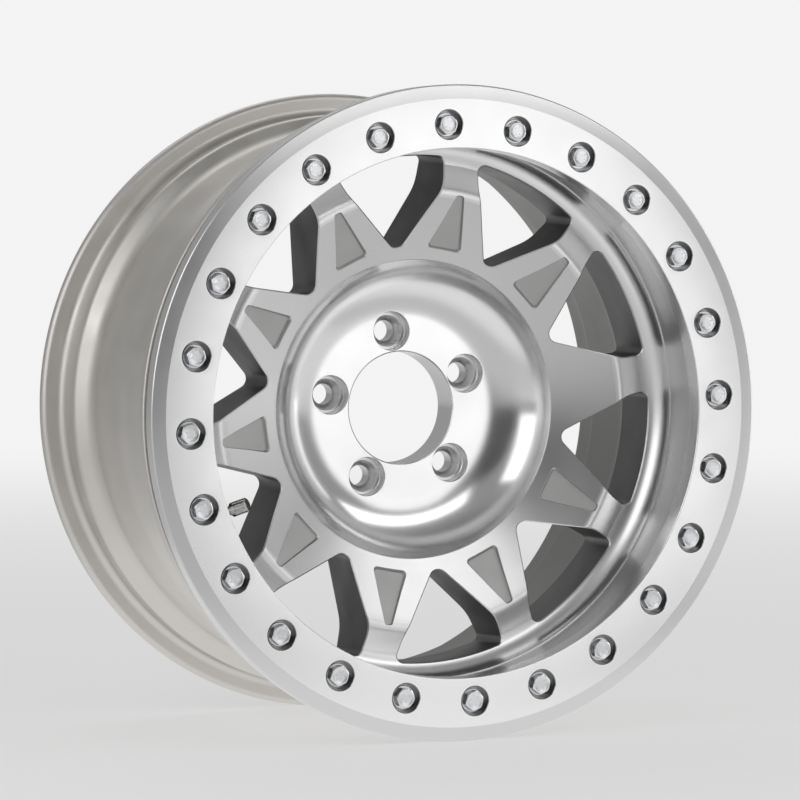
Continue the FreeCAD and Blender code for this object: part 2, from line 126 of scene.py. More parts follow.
class WheelHubSizes(bpy.types.PropertyGroup):
    """Sizes of the hub and the bowl around it."""
    bore_diameter: length("Bore", "Diameter of the centre bore", 83.1)
    lug_circle: length("Lug circle", "Circle of the lug holes", 114.3)
    lug_count: number("Lug count", "Number of lug holes", 5)
    lug_clock: turn("Lug clock", "Place of the first lug hole, clockwise from the top", -7.6)
    lug_face_depth: length("Lug face depth", "Depth of the face round the lug holes", 111)
    lug_counterbore: length("Lug counterbore", "Diameter of the lug counterbores", 28.6)
    lug_counterbore_depth: length("Lug counterbore depth", "Depth of the lug counterbores", 9)
    lug_seat: length("Lug seat", "Diameter of the cone seats", 23)
    lug_hole: length("Lug hole", "Diameter of the lug holes", 15.5)
    pad_diameter: length("Pad", "Diameter of the mounting pad", 150)
    relief_depth: length("Relief depth", "Hollows of the mounting pad", 8)
    relief_half: length("Relief half width", "Half the width of those hollows", 15)
    relief_inner: length("Relief inner", "Radius where they start", 50)
    relief_outer: length("Relief outer", "Radius where they end", 68)
    relief_corner: length("Relief corner", "Round of their corners", 6)
    bowl_flat_radius: length("Bowl flat", "Radius where the bowl starts to rise", 67)
    bowl_round: length("Bowl round", "Radius of the bowl's section", 47.5)
    bowl_rim_radius: length("Bowl rim", "Radius of the bowl's sharp rim", 109.5)


class WheelSpokeSizes(bpy.types.PropertyGroup):
    """Sizes of the spoke disc, its windows and pockets, and the dish."""
    count: number("Spokes", "Number of spokes", 10)
    clock: turn("Spoke clock", "Place of the first spoke, clockwise from the top", 10.4)
    face_angle: turn("Face angle", "Slope of the spokes' face", 20)
    crease_radius: length("Crease", "Radius of the crease at the spokes' tips", 160)
    crease_round: length("Crease round", "Round of the crease's crest", 12)
    floor_angle: turn("Floor angle", "Slope of the face outside the crease", 23)
    dish_radius: length("Dish", "Radius of the dish's wall", 195.6)
    dish_round: length("Dish round", "Round at the foot of the dish's wall", 15.6)
    dish_step: length("Dish step", "Turned step in the dish's wall", 0.8)
    foot_half: length("Foot half width", "Half the width of a spoke at its foot", 29)
    foot_radius: length("Foot radius", "Radius where that width is taken", 126.7)
    taper: turn("Taper", "Angle of a spoke's flank", 21.4)
    end_half: length("End half width", "Half the width of a spoke's outer end", 14.2)
    bend_round: length("Bend round", "Round where the flank turns straight", 40)
    tip_round: length("Tip round", "Round of a window's inner tip", 7)
    corner_round: length("Corner round", "Round of a window's outer corners", 5)
    window_outer_radius: length("Window outer radius", "Radius of a window's outer end", 184)
    window_draft: turn("Window draft", "Draft of a window's outer end", 3)
    window_chamfer: length("Window chamfer", "Broken edge round a window's mouth", 0.8)
    back_depth: length("Back depth", "Depth of the back of the spokes at the rim", 122)
    hub_back_depth: length("Hub back depth", "Depth of the back of the spokes at the hub", 127)
    plain: number("Plain spoke", "The one spoke without a pocket, counted clockwise from zero", 2)
    pocket_inner: length("Pocket inner", "Radius of a pocket's base", 118.5)
    pocket_outer: length("Pocket outer", "Radius of a pocket's tip", 158.5)
    pocket_base_half: length("Pocket base", "Half the width of a pocket's base", 13.4)
    pocket_tip_half: length("Pocket tip", "Half the width of a pocket's tip", 2.8)
    pocket_round: length("Pocket round", "Round of a pocket's base corners", 2.8)
    pocket_depth: length("Pocket depth", "Depth of a pocket", 2.5)
    skin: length("Spoke skin", "Metal between the face and the back hollow", 14)
    hollow_inner: length("Hollow inner", "Radius where the back hollow starts", 121)
    hollow_outer: length("Hollow outer", "Radius where the back hollow ends", 166)
    hollow_inner_half: length("Hollow inner half", "Half its width towards the hub", 17)
    hollow_outer_half: length("Hollow outer half", "Half its width towards the rim", 8)


class WheelRingSizes(bpy.types.PropertyGroup):
    """Sizes of the clamp ring, its bolts and washers."""
    inner_diameter: length("Ring inside", "Inner diameter of the ring", 378.9)
    flat_diameter: length("Ring flat", "Diameter where the bevel starts", 449.4)
    bevel_depth: length("Bevel depth", "Depth of the bevel at the outer edge", 1.8)
    pilot_length: length("Pilot", "Length of the spigot inside the dish", 3)
    bolt_circle: length("Bolt circle", "Circle of the ring bolts", 412.75)
    bolt_count: number("Bolts", "Number of ring bolts", 24)
    bolt_clock: turn("Bolt clock", "Place of the first bolt, clockwise from the top", -2.85)
    bolt_diameter: length("Bolt", "Diameter of a bolt's shank", 8)
    bolt_reach: length("Bolt reach", "Length of a bolt inside the casting", 20)
    head_flats: length("Head flats", "Width across a bolt head's flats", 13)
    head_height: length("Head height", "Height of a bolt head", 5.2)
    washer_diameter: length("Washer", "Diameter of a washer", 17)
    washer_thickness: length("Washer thickness", "Thickness of a washer", 1.6)
    counterbore: length("Counterbore", "Diameter of a counterbore", 21.3)
    counterbore_depth: length("Counterbore depth", "Depth of a counterbore", 7)
    seed: number("Seed", "Seed of the turn that each head was left at", 7)


class WheelValveSizes(bpy.types.PropertyGroup):
    """Sizes of the tyre valve; stations run along its axis towards the cap."""
    clock: turn("Valve clock", "Place of the valve, clockwise from the top", 244.2)
    tilt: turn("Tilt", "Lean of the valve towards the outboard side", 40)
    radius: length("Valve radius", "Radius of the hole's middle", 192.5)
    depth: length("Valve depth", "Depth of the hole's middle", 108.6)
    hole: length("Valve hole", "Diameter of the hole in the well's wall", 11.5)
    spotface: length("Spotface", "Diameter of the flat round the hole", 17.5)
    wall_outer: length("Wall outside", "Wall on the tyre side of the hole's middle", 3.5)
    wall_inner: length("Wall inside", "Wall on the cap side of the hole's middle", 4.5)
    stem_diameter: length("Stem", "Diameter of the stem", 8)
    stem_neck: length("Stem neck", "Diameter of the stem's neck", 6.6)
    stem_length: length("Stem length", "Station of the stem's end", 50.5)
    stem_start: length("Stem start", "Station of the stem's flange", -8.2)
    flange: length("Stem flange", "Diameter of the stem's flange", 16)
    flange_thickness: length("Flange thickness", "Thickness of the stem's flange", 2.5)
    nut_end: length("Nut end", "Station of the nut's far side", 11)
    bore: length("Stem bore", "Diameter of the air way", 3.6)
    core_bore: length("Core bore", "Diameter of the bore for the core", 5.6)
    core_bore_length: length("Core bore length", "Length of the bore for the core", 24)
    thread_pitch: length("Thread pitch", "Pitch of the stem's thread", 1)
    thread_depth: length("Thread depth", "Depth of the stem's thread", 0.45)
    spring_keep: share("Spring keep", "Share of the core spring's length left when the pin is down", 0.78)
    cap_diameter: length("Cap", "Diameter of the cap", 10.6)
    cap_length: length("Cap length", "Length of the cap", 13)
    cap_top: length("Cap top", "Thickness of the cap's end", 3)
    cap_gasket: length("Cap gasket", "Thickness of the cap's gasket", 1)
    cap_flutes: number("Flutes", "Number of flutes on the cap", 12)
    cap_flute_depth: length("Flute depth", "Depth of a flute", 0.6)
    cap_plain: length("Plain skirt", "Plain length at the cap's mouth", 2.5)


class WheelFinishes(bpy.types.PropertyGroup):
    """Colours of the metals and rubber."""
    machined: tint("Machined face", "Turned faces of the dish", 0.80, 0.80, 0.80)
    bowl: tint("Bowl", "Turned bowl round the hub", 0.78, 0.78, 0.78)
    ring: tint("Clamp ring", "Finely turned ring", 0.86, 0.86, 0.86)
    face: tint("Spoke face", "Satin turned faces of the spokes", 0.70, 0.70, 0.70)
    bevel: tint("Bevel", "Outer bevel of the clamp ring", 0.70, 0.70, 0.70)
    # Painted shade: the counterbore walls are the ring's own metal, darkened here to stand in for the shade
    # round the bolt heads
    recess_shade: tint("Recess", "Walls of the ring's counterbores", 0.32, 0.32, 0.32)
    barrel: tint("Barrel", "Outside of the barrel", 0.66, 0.64, 0.61)
    # Painted shade: the back, the inside of the barrel and the cast sides of the windows and hollows are the
    # same silver casting, darkened here for the shade inside the wheel
    back: tint("Back", "Back of the spokes and inside of the barrel", 0.32, 0.318, 0.312)
    cast: tint("Cast metal", "Cast sides of the windows and hollows", 0.18, 0.18, 0.18)
    pocket: tint("Pocket", "Blasted floor of the pockets", 0.52, 0.52, 0.515)
    zinc: tint("Zinc", "Bolts and washers", 0.74, 0.75, 0.77)
    nickel: tint("Nickel", "Valve stem, nut and cap", 0.62, 0.61, 0.59)
    brass: tint("Brass", "Valve core", 0.70, 0.50, 0.22)
    steel: tint("Spring steel", "Coil of the valve core", 0.50, 0.50, 0.52)
    rubber: tint("Rubber", "Seals", 0.025, 0.025, 0.027)


class WheelStage(bpy.types.PropertyGroup):
    """Floor, light and camera."""
    floor: tint("Floor", "Colour of the floor", 0.80, 0.80, 0.80)
    floor_lift: share("Floor lift", "How far the floor is lifted to the backdrop's tone", 0.55)
    backdrop: tint("Backdrop", "Colour behind the wheel", 0.90, 0.90, 0.90)
    room_level: share("Room", "Level of the plain part of the room", 0.40)
    room_dark: share("Dim front", "Level of the room round the camera", 0.12)
    room_above: share("Room above", "Level of the room overhead", 0.28)
    room_front: share("Right front", "Level of the room in front and to the right", 0.62)
    room_behind: share("Room behind", "Level of the room behind the wheel", 0.45)
    camera_azimuth: turn("Camera azimuth", "Turn of the camera about the upright axis", -23.1851)
    camera_elevation: turn("Camera elevation", "Height angle of the camera", 2.4223)
    camera_place: bpy.props.FloatVectorProperty(name="Camera place", description="Where the camera stands",
                                                default=(-1.2100, -2.8511, 0.1356), size=3, unit="LENGTH")
    camera_lens: bpy.props.FloatProperty(name="Lens", description="Focal length in millimetres",
                                         default=187.39)


# Clouds of tone in a finish: scale per metre and detail
TURNED_CLOUDS = (28, 4)
GRAIN_CLOUDS = (35, 5)
# Least and most roughness: as shares of it over rings and grain, and added to it over clouds
RING_WEAR = (0.92, 1.06)
GRAIN_WEAR = (0.85, 1.18)
CLOUD_WEAR = (-0.02, 0.03)

# Finishes of the casting, in the order of its material slots; the cast and back slots carry painted shade
BOWL, FACE, DISH, BARREL, CAST_IN_SHADE, POCKET, BACK_IN_SHADE = range(7)


def node(tree, kind, **values):
    made = tree.nodes.new(kind)
    for key, value in values.items():
        setattr(made, key, value)
    return made


def new_material(name, colour, metallic, roughness):
    """Material with its shader's fixed values set, and the shader itself."""
    material = bpy.data.materials.get(name) or bpy.data.materials.new(name)
    material.use_nodes = True
    shader = material.node_tree.nodes["Principled BSDF"]
    shader.inputs["Base Color"].default_value = (*colour, 1)
    shader.inputs["Metallic"].default_value = metallic
    shader.inputs["Roughness"].default_value = roughness
    return material, shader


def ranged(tree, source, from_min, from_max, to_min=0.0, to_max=1.0, smooth=False):
    """Maps one range of values to another and holds the ends."""
    made = node(tree, "ShaderNodeMapRange", interpolation_type="SMOOTHSTEP" if smooth else "LINEAR")
    ends = {"From Min": from_min, "From Max": from_max, "To Min": to_min, "To Max": to_max}
    for name, value in ends.items():
        made.inputs[name].default_value = value
    tree.links.new(source, made.inputs["Value"])
    return made.outputs["Result"]


def spread(tree, source, low, high):
    """Maps a noise's usual range to a range of values."""
    return ranged(tree, source, 0.25, 0.75, low, high)


def combined(tree, operation, first, second):
    """Result of a sum on two sockets."""
    made = node(tree, "ShaderNodeMath", operation=operation)
    tree.links.new(first, made.inputs[0])
    tree.links.new(second, made.inputs[1])
    return made.outputs["Value"]


def dotted(tree, source, direction):
    """Share of a vector along a direction."""
    made = node(tree, "ShaderNodeVectorMath", operation="DOT_PRODUCT")
    made.inputs[1].default_value = direction
    tree.links.new(source, made.inputs[0])
    return made.outputs["Value"]


def noise(tree, source, scale, detail):
    made = node(tree, "ShaderNodeTexNoise")
    made.inputs["Scale"].default_value = scale
    made.inputs["Detail"].default_value = detail
    tree.links.new(source, made.inputs["Vector"])
    return made.outputs["Fac"]


def shade_colour(tree, source, colour, amount, shader):
    """Lightens and darkens the colour a little by a pattern."""
    mix = node(tree, "ShaderNodeMix", data_type="RGBA")
    low, high = [socket for socket in mix.inputs if socket.type == "RGBA"]
    low.default_value = (*[part * (1 - amount) for part in colour], 1)
    high.default_value = (*[min(1.0, part * (1 + amount)) for part in colour], 1)
    tree.links.new(source, mix.inputs["Factor"])
    output = [socket for socket in mix.outputs if socket.type == "RGBA"][0]
    tree.links.new(output, shader.inputs["Base Color"])


def bump_from(tree, source, strength, distance, shader):
    bump = node(tree, "ShaderNodeBump")
    bump.inputs["Strength"].default_value = strength
    bump.inputs["Distance"].default_value = distance
    tree.links.new(source, bump.inputs["Height"])
    tree.links.new(bump.outputs["Normal"], shader.inputs["Normal"])


def turned_finish(name, colour, roughness, anisotropic, pitch, groove):
    """Bright metal with the fine rings that a lathe leaves round the wheel's axis."""
    material, shader = new_material(name, colour, 1.0, roughness)
    tree = material.node_tree
    shader.inputs["Anisotropic"].default_value = anisotropic
    shader.inputs["Anisotropic Rotation"].default_value = 0.25
    tangent = node(tree, "ShaderNodeTangent", direction_type="RADIAL", axis="Y")
    tree.links.new(tangent.outputs["Tangent"], shader.inputs["Tangent"])
    place = node(tree, "ShaderNodeTexCoord").outputs["Object"]
    flat = node(tree, "ShaderNodeVectorMath", operation="MULTIPLY")
    flat.inputs[1].default_value = 1, 0.6, 1
    tree.links.new(place, flat.inputs[0])
    radius = node(tree, "ShaderNodeVectorMath", operation="LENGTH")
    tree.links.new(flat.outputs["Vector"], radius.inputs[0])
    rings = node(tree, "ShaderNodeTexNoise", noise_dimensions="1D")
    rings.inputs["Scale"].default_value = 1 / pitch
    rings.inputs["Detail"].default_value = 5
    rings.inputs["Roughness"].default_value = 0.75
    tree.links.new(radius.outputs["Value"], rings.inputs["W"])
    cloud = noise(tree, place, *TURNED_CLOUDS)
    finer, coarser = [roughness * part for part in RING_WEAR]
    worn = combined(tree, "ADD", spread(tree, rings.outputs["Fac"], finer, coarser),
                    spread(tree, cloud, *CLOUD_WEAR))
    tree.links.new(worn, shader.inputs["Roughness"])
    shade_colour(tree, rings.outputs["Fac"], colour, 0.03, shader)
    bump_from(tree, rings.outputs["Fac"], 0.18, groove, shader)
    return material


def grained_finish(name, colour, metallic, roughness, grain, height):
    """Cast, blasted or plated surface: a fine grain over soft clouds of tone."""
    material, shader = new_material(name, colour, metallic, roughness)
    tree = material.node_tree
    place = node(tree, "ShaderNodeTexCoord").outputs["Object"]
    fine = noise(tree, place, 1 / grain, 3)
    cloud = noise(tree, place, *GRAIN_CLOUDS)
    finer, coarser = [min(1, roughness * part) for part in GRAIN_WEAR]
    tree.links.new(spread(tree, cloud, finer, coarser), shader.inputs["Roughness"])
    shade_colour(tree, cloud, colour, 0.08, shader)
    bump_from(tree, fine, 0.3, height, shader)
    return material


def paint_shade_below(material, level, fade, amount):
    """Paints shade into a finish: darker from a depth along Y on, for the shade down a narrow hollow."""
    tree = material.node_tree
    socket = tree.nodes["Principled BSDF"].inputs["Base Color"]
    given = socket.links[0].from_socket
    parts = node(tree, "ShaderNodeSeparateXYZ")
    tree.links.new(node(tree, "ShaderNodeTexCoord").outputs["Object"], parts.inputs["Vector"])
    shade = ranged(tree, parts.outputs["Y"], level, level + fade, 1.0, amount)
    shaded = node(tree, "ShaderNodeVectorMath", operation="SCALE")
    tree.links.new(given, shaded.inputs[0])
    tree.links.new(shade, shaded.inputs["Scale"])
    tree.links.new(shaded.outputs["Vector"], socket)


def wheel_materials(finishes):
    """The casting's finishes, in slot order.

    A turned one has roughness, anisotropy, and the pitch and depth of its rings in metres; a grained one
    has metallic, roughness, and the size and height of its grain.
    """
    return [
        turned_finish("bowl_turned", finishes.bowl, 0.17, 0.55, 0.0016, 0.00002),
        turned_finish("spoke_face_turned", finishes.face, 0.30, 0.35, 0.0014, 0.00002),
        turned_finish("dish_turned", finishes.machined, 0.30, 0.35, 0.0014, 0.00001),
        grained_finish("barrel_satin", finishes.barrel, 1.0, 0.46, 0.0009, 0.00004),
        # Painted shade: a dark tone for the shaded sides of the windows and hollows
        grained_finish("cast_satin", finishes.cast, 1.0, 0.48, 0.0011, 0.00008),
        grained_finish("pocket_blasted", finishes.pocket, 1.0, 0.55, 0.0008, 0.00006),
        # Painted shade: a dark tone for the shaded back of the spokes and inside of the barrel
        grained_finish("back_satin", finishes.back, 1.0, 0.46, 0.0010, 0.00006),
    ]


def arc_points(centre, start, end, steps=None):
    """Points of the short arc between two places on a circle, both ends included."""
    a = start - centre
    b = end - centre
    sweep = a.angle(b)
    steps = steps or max(2, math.ceil(sweep / ARC_STEP))
    points = []
    for k in range(steps + 1):
        t = k / steps
        points.append(centre + (a * math.sin((1 - t) * sweep) + b * math.sin(t * sweep)) / math.sin(sweep))
    return points


def rounded(corners, closed, steps=None):
    """Outline through (x, y, radius, finish) corners, as (point, finish) pairs."""
    points = []
    count = len(corners)
    for index, (x, y, radius, finish) in enumerate(corners):
        here = Vector((x, y))
        if radius == 0 or (not closed and index in (0, count - 1)):
            points.append((here, finish))
            continue
        before = (Vector(corners[index - 1][:2]) - here).normalized()
        after = (Vector(corners[(index + 1) % count][:2]) - here).normalized()
        half = before.angle(after) / 2
        centre = here + (before + after).normalized() * (radius / math.sin(half))
        reach = radius / math.tan(half)
        arc = arc_points(centre, here + before * reach, here + after * reach, steps)
        points += [(point, finish) for point in arc]
    return points


def lathe(bm, profile, segments):
    """Closed section of (radius, along) points turned about Y."""
    rings = []
    for point, finish in profile:
        ring = []
        for k in range(segments):
            angle = 2 * math.pi * k / segments
            ring.append(bm.verts.new((point[0] * math.sin(angle), point[1], point[0] * math.cos(angle))))
        rings.append(ring)
    for index, (point, finish) in enumerate(profile):
        ring = rings[index]
        following = rings[(index + 1) % len(rings)]
        for k in range(segments):
            j = (k + 1) % segments
            face = bm.faces.new((ring[k], ring[j], following[j], following[k]))
            face.material_index = finish


def loft(bm, rings, finishes):
    """Capped skin through loops of points, with a finish for each band between two loops."""
    loops = [[bm.verts.new(point) for point in ring] for ring in rings]
    count = len(loops[0])
    for low, high, finish in zip(loops, loops[1:], finishes):
        for k in range(count):
            j = (k + 1) % count
            face = bm.faces.new((low[k], low[j], high[j], high[k]))
            face.material_index = finish
    for loop, finish in ((loops[0], finishes[0]), (loops[-1], finishes[-1])):
        face = bm.faces.new(loop)
        face.material_index = finish


def circle(radius, along, segments, centre=0.0):
    """Loop round an axis along Y that stands at 12 o'clock, a distance from the wheel's axis."""
    steps = [2 * math.pi * k / segments for k in range(segments)]
    return [Vector((radius * math.sin(a), along, centre + radius * math.cos(a))) for a in steps]


def clocked(points, angle):
    """Points turned clockwise from the top, seen from outboard."""
    rotation = Matrix.Rotation(angle, 3, "Y")
    return [rotation @ point for point in points]


def loft_round(bm, rings, finishes, clock, count, offset=0.0, skip=None):
    """The same loft at equal steps round the wheel, starting at a clock angle."""
    for k in range(count):
        if k != skip:
            angle = clock + (k + offset) * 2 * math.pi / count
            loft(bm, [clocked(ring, angle) for ring in rings], finishes)


def finished(mesh):
    """Smooth shading that breaks at the machined edges."""
    mesh.shade_smooth()
    mesh.set_sharp_from_angle(angle=SHARP_ANGLE)
    return mesh


def new_object(name, bm, materials):
    """Object at the origin from a closed bmesh, faces outwards."""
    bmesh.ops.recalc_face_normals(bm, faces=bm.faces)
    mesh = bpy.data.meshes.new(name)
    bm.to_mesh(mesh)
    bm.free()
    for material in materials:
        mesh.materials.append(material)
    finished(mesh)
    made = bpy.data.objects.new(name, mesh)
    bpy.context.scene.collection.objects.link(made)
    return made


def baked(piece):
    """Puts the result of a piece's modifiers in place of its mesh."""
    depsgraph = bpy.context.evaluated_depsgraph_get()
    mesh = bpy.data.meshes.new_from_object(piece.evaluated_get(depsgraph))
    piece.modifiers.clear()
    rough = piece.data
    piece.data = finished(mesh)
    mesh.name = piece.name
    bpy.data.meshes.remove(rough)
    if len(mesh.polygons) == 0:
        raise RuntimeError("no faces are left of " + piece.name)


def carve(piece, cutters):
    """Cuts shapes out of a piece and keeps the finish of each cut."""
    for cutter in cutters:
        cut = piece.modifiers.new("cut", "BOOLEAN")
        cut.operation = "DIFFERENCE"
        cut.solver = "EXACT"
        cut.material_mode = "TRANSFER"
        cut.object = cutter
    baked(piece)
    for cutter in cutters:
        bpy.data.meshes.remove(cutter.data)


def fit(piece, slot, *nodes):
    """Ties a finished piece to the wheel's body and hides the solids that it stands for."""
    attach(piece, BODY)
    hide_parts(*nodes)


class FaceShape:
    """Depths of the turned face, worked out from the sizes."""

    def __init__(self, hub, spokes):
        self.rim_radius = hub.bowl_rim_radius
        rise = math.sqrt(hub.bowl_round ** 2 - (hub.bowl_rim_radius - hub.bowl_flat_radius) ** 2)
        self.rim_depth = hub.lug_face_depth - hub.bowl_round + rise
        self.slope = math.tan(spokes.face_angle)
        self.crease_radius = spokes.crease_radius
        self.crease_depth = self.rim_depth - self.slope * (self.crease_radius - self.rim_radius)
        self.floor_slope = math.tan(spokes.floor_angle)
        self.floor_end = spokes.dish_radius - spokes.dish_round
        self.floor_depth = self.crease_depth + self.floor_slope * (self.floor_end - self.crease_radius)
        self.step_depth = self.floor_depth - spokes.dish_round
        self.dish_round = spokes.dish_round
        self.crest = rounded([
            (self.rim_radius, self.rim_depth, 0, FACE),
            (self.crease_radius, self.crease_depth, spokes.crease_round, DISH),
            (self.floor_end, self.floor_depth, 0, DISH),
        ], False)

    def depth(self, radius):
        """Depth of the turned face between the bowl's rim and the dish's wall."""
        if radius > self.floor_end:
            return self.step_depth + math.sqrt(self.dish_round ** 2 - (radius - self.floor_end) ** 2)
        for (inner, _), (outer, _) in zip(self.crest, self.crest[1:]):
            if radius <= outer.x:
                return inner.y + (outer.y - inner.y) * (radius - inner.x) / (outer.x - inner.x)
        return self.floor_depth


def casting_section(rim, hub, spokes, face):
    """Half section of the casting, with the finish of each stretch."""
    bore = hub.bore_diameter / 2
    chamfer = 0.8 * MM
    flat = Vector((hub.bowl_flat_radius, hub.lug_face_depth))
    bowl_centre = flat - Vector((0, hub.bowl_round))
    bowl_end = Vector((face.rim_radius, face.rim_depth))
    floor_end = Vector((face.floor_end, face.floor_depth))
    dish_centre = Vector((face.floor_end, face.step_depth))
    wall = Vector((spokes.dish_radius, face.step_depth))
    front_wall = spokes.dish_radius + spokes.dish_step
    edge = 0.5 * MM
    points = [(Vector((bore, hub.lug_face_depth + chamfer)), BOWL),
              (Vector((bore + chamfer, hub.lug_face_depth)), BOWL)]
    points += [(point, BOWL) for point in arc_points(bowl_centre, flat, bowl_end)[:-1]]
    crest_start = face.crest[1][0]
    towards_crease = (crest_start - bowl_end).normalized()
    points += [(bowl_end - Vector((edge * 0.2, -edge)), FACE), (bowl_end + towards_crease * edge, FACE)]
    face_steps = 12
    for k in range(1, face_steps):
        points.append((bowl_end.lerp(crest_start, k / face_steps), FACE))
    points += face.crest[1:-1]
    points += [(point, DISH) for point in arc_points(dish_centre, floor_end, wall)]
    seat = rim.bead_seat_diameter / 2
    flange = rim.flange_diameter / 2
    back_seat = rim.clamp_depth + rim.rim_width
    shoulder = rim.shoulder_diameter / 2
    shoulder_end = rim.shoulder_depth + rim.shoulder_width
    well = rim.well_diameter / 2
    barrel = rim.barrel_diameter / 2
    hump_start = rim.hump_depth - 2 * rim.hump_half_width
    hump_end = rim.hump_depth + rim.hump_half_width
    flange_back = back_seat + rim.back_flange_width
    flange_round = 0.45 * rim.back_flange_width
    inside = barrel - rim.barrel_wall
    flare = (spokes.back_depth - face.crease_depth + spokes.dish_round) * math.tan(spokes.window_draft)
    pad = hub.pad_diameter / 2
    lead = 2 * MM
    small, medium, large = 1.5 * MM, 3 * MM, 12 * MM
    points += rounded([
        (front_wall, face.step_depth, 0, DISH),
        (front_wall, rim.clamp_depth, 0, BARREL),
        (seat - lead, rim.clamp_depth, 0, BARREL),
        (seat, rim.clamp_depth + lead, 0, BARREL),
        (seat, rim.shoulder_depth, medium, BARREL),
        (shoulder, rim.shoulder_depth, small, BARREL),
        (shoulder, shoulder_end, small, BARREL),
        (well, rim.well_start_depth, large, BARREL),
        (well, rim.well_end_depth, rim.ramp_round, BARREL),
        (barrel, rim.ramp_end_depth, rim.ramp_round, BARREL),
        (barrel, hump_start, rim.hump_foot_round, BARREL),
        (seat + rim.hump_height, rim.hump_depth, rim.hump_crest_round, BARREL),
        (seat, hump_end, medium, BARREL),
        (seat, back_seat, 2 * medium, BARREL),
        (flange, back_seat, flange_round, BARREL),
        (flange, flange_back, flange_round, BARREL),
        (flange - rim.back_flange_lip, flange_back, medium, BACK_IN_SHADE),
        (seat - rim.barrel_wall, hump_end, large, BACK_IN_SHADE),
        (inside, hump_start - rim.hump_half_width, large, BACK_IN_SHADE),
        (inside, rim.ramp_end_depth + rim.barrel_wall, large, BACK_IN_SHADE),
        (spokes.window_outer_radius + flare, spokes.back_depth, medium, BACK_IN_SHADE),
        (pad + medium, spokes.hub_back_depth, medium, BACK_IN_SHADE),
        (pad, rim.hub_face_depth, small, FACE),
        (bore + chamfer, rim.hub_face_depth, 0, FACE),
        (bore, rim.hub_face_depth - chamfer, 0, BOWL),
    ], False)
    return [(Vector((point[0], point[1] - rim.hub_face_depth)), finish) for point, finish in points]


def window_outline(spokes, grow, outer):
    """Loop of (x, z) points of the window at 12 o'clock, grown on all sides."""
    half_pitch = math.pi / spokes.count
    slope = math.tan(spokes.taper)
    foot = spokes.foot_half - grow / math.cos(spokes.taper)
    end = spokes.end_half - grow
    corner = spokes.corner_round + grow
    bend = spokes.foot_radius + (foot - end) / slope
    vertex = (foot + slope * spokes.foot_radius) / (slope + math.tan(half_pitch))
    reach = math.sqrt((outer - corner) ** 2 - (end + corner) ** 2)

    def flank(along, across, side):
        return Vector((side * (along * math.sin(half_pitch) - across * math.cos(half_pitch)),
                       along * math.cos(half_pitch) + across * math.sin(half_pitch)))

    path = rounded([
        (*flank(reach, end, -1), 0, 0),
        (*flank(bend, end, -1), spokes.bend_round - grow, 0),
        (0, vertex / math.cos(half_pitch), spokes.tip_round + grow, 0),
        (*flank(bend, end, 1), spokes.bend_round - grow, 0),
        (*flank(reach, end, 1), 0, 0),
    ], False)
    points = [point for point, finish in path]
    right = flank(reach, end + corner, 1)
    left = flank(reach, end + corner, -1)
    touch_right = right.normalized() * outer
    touch_left = left.normalized() * outer
    points += arc_points(right, points[-1], touch_right)[1:]
    sweep = touch_right.angle(touch_left)
    outer_steps = 14
    for k in range(1, outer_steps):
        angle = sweep * (0.5 - k / outer_steps)
        points.append(Vector((outer * math.sin(angle), outer * math.cos(angle))))
    points += arc_points(left, touch_left, points[0])[:-1]
    return points


def divided(outlines, step):
    """Like outlines with every long stretch of the first one divided, at the same places in all."""
    first = outlines[0]
    count = len(first)
    parts = [max(1, round((first[(k + 1) % count] - first[k]).length / step)) for k in range(count)]
    results = []
    for outline in outlines:
        points = []
        for k, number_of_parts in enumerate(parts):
            for j in range(number_of_parts):
                points.append(outline[k].lerp(outline[(k + 1) % count], j / number_of_parts))
        results.append(points)
    return results


def window_cuts(bm, rim, spokes, face):
    """Cutters of all windows, flared at the mouth for its broken edge."""
    chamfer = spokes.window_chamfer
    clear = 0.5 * MM
    back = rim.hub_face_depth + clear
    front = face.crease_depth - spokes.dish_round
    draft = math.tan(spokes.window_draft)
    mouth = spokes.window_outer_radius + (face.depth(spokes.window_outer_radius) - front) * draft
    far = spokes.window_outer_radius + (back - front) * draft
    wide = chamfer + clear
    base, open_edge, tail = divided([
        window_outline(spokes, 0, mouth),
        window_outline(spokes, wide, mouth + wide),
        window_outline(spokes, 0, far),
    ], 3 * MM)
    hub = rim.hub_face_depth
    rings = [
        [Vector((p.x, front - hub, p.y)) for p in open_edge],
        [Vector((p.x, face.depth(p.length) - clear - hub, p.y)) for p in open_edge],
        [Vector((p.x, face.depth(p.length) + chamfer - hub, p.y)) for p in base],
        [Vector((p.x, back - hub, p.y)) for p in tail],
    ]
    loft_round(bm, rings, [FACE, FACE, CAST_IN_SHADE], spokes.clock, spokes.count, 0.5)


def pocket_cuts(bm, rim, spokes, face):
    """Cutters of the shallow pockets in the spokes' face."""
    tilt = spokes.face_angle
    along = Vector((0, -math.sin(tilt), math.cos(tilt)))
    outward = Vector((0, -math.cos(tilt), -math.sin(tilt)))
    foot = Vector((0, face.rim_depth - rim.hub_face_depth, face.rim_radius))
    inner = (spokes.pocket_inner - face.rim_radius) / math.cos(tilt)
    outer = (spokes.pocket_outer - face.rim_radius) / math.cos(tilt)

    def outline(height, shrink):
        base = spokes.pocket_base_half - shrink
        tip = spokes.pocket_tip_half
        base_round = max(0.4 * MM, spokes.pocket_round - shrink * 0.5)
        path = rounded([
            (inner + shrink, -base, base_round, 0),
            (inner + shrink, base, base_round, 0),
            (outer - shrink, tip, tip * 0.85, 0),
            (outer - shrink, -tip, tip * 0.85, 0),
        ], True, 8)
        return [foot + along * point.x + Vector((point.y, 0, 0)) + outward * height for point, finish in path]

    depth = spokes.pocket_depth
    rings = [
        outline(1.0 * MM, -1.5 * MM),
        outline(-0.55 * MM, 0.05 * MM),
        outline(-0.8 * depth, 0.7 * MM),
        outline(-0.96 * depth, 1.1 * MM),
        outline(-depth, 1.8 * MM),
    ]
    loft_round(bm, rings, [FACE, POCKET, POCKET, POCKET], spokes.clock, spokes.count, skip=spokes.plain)


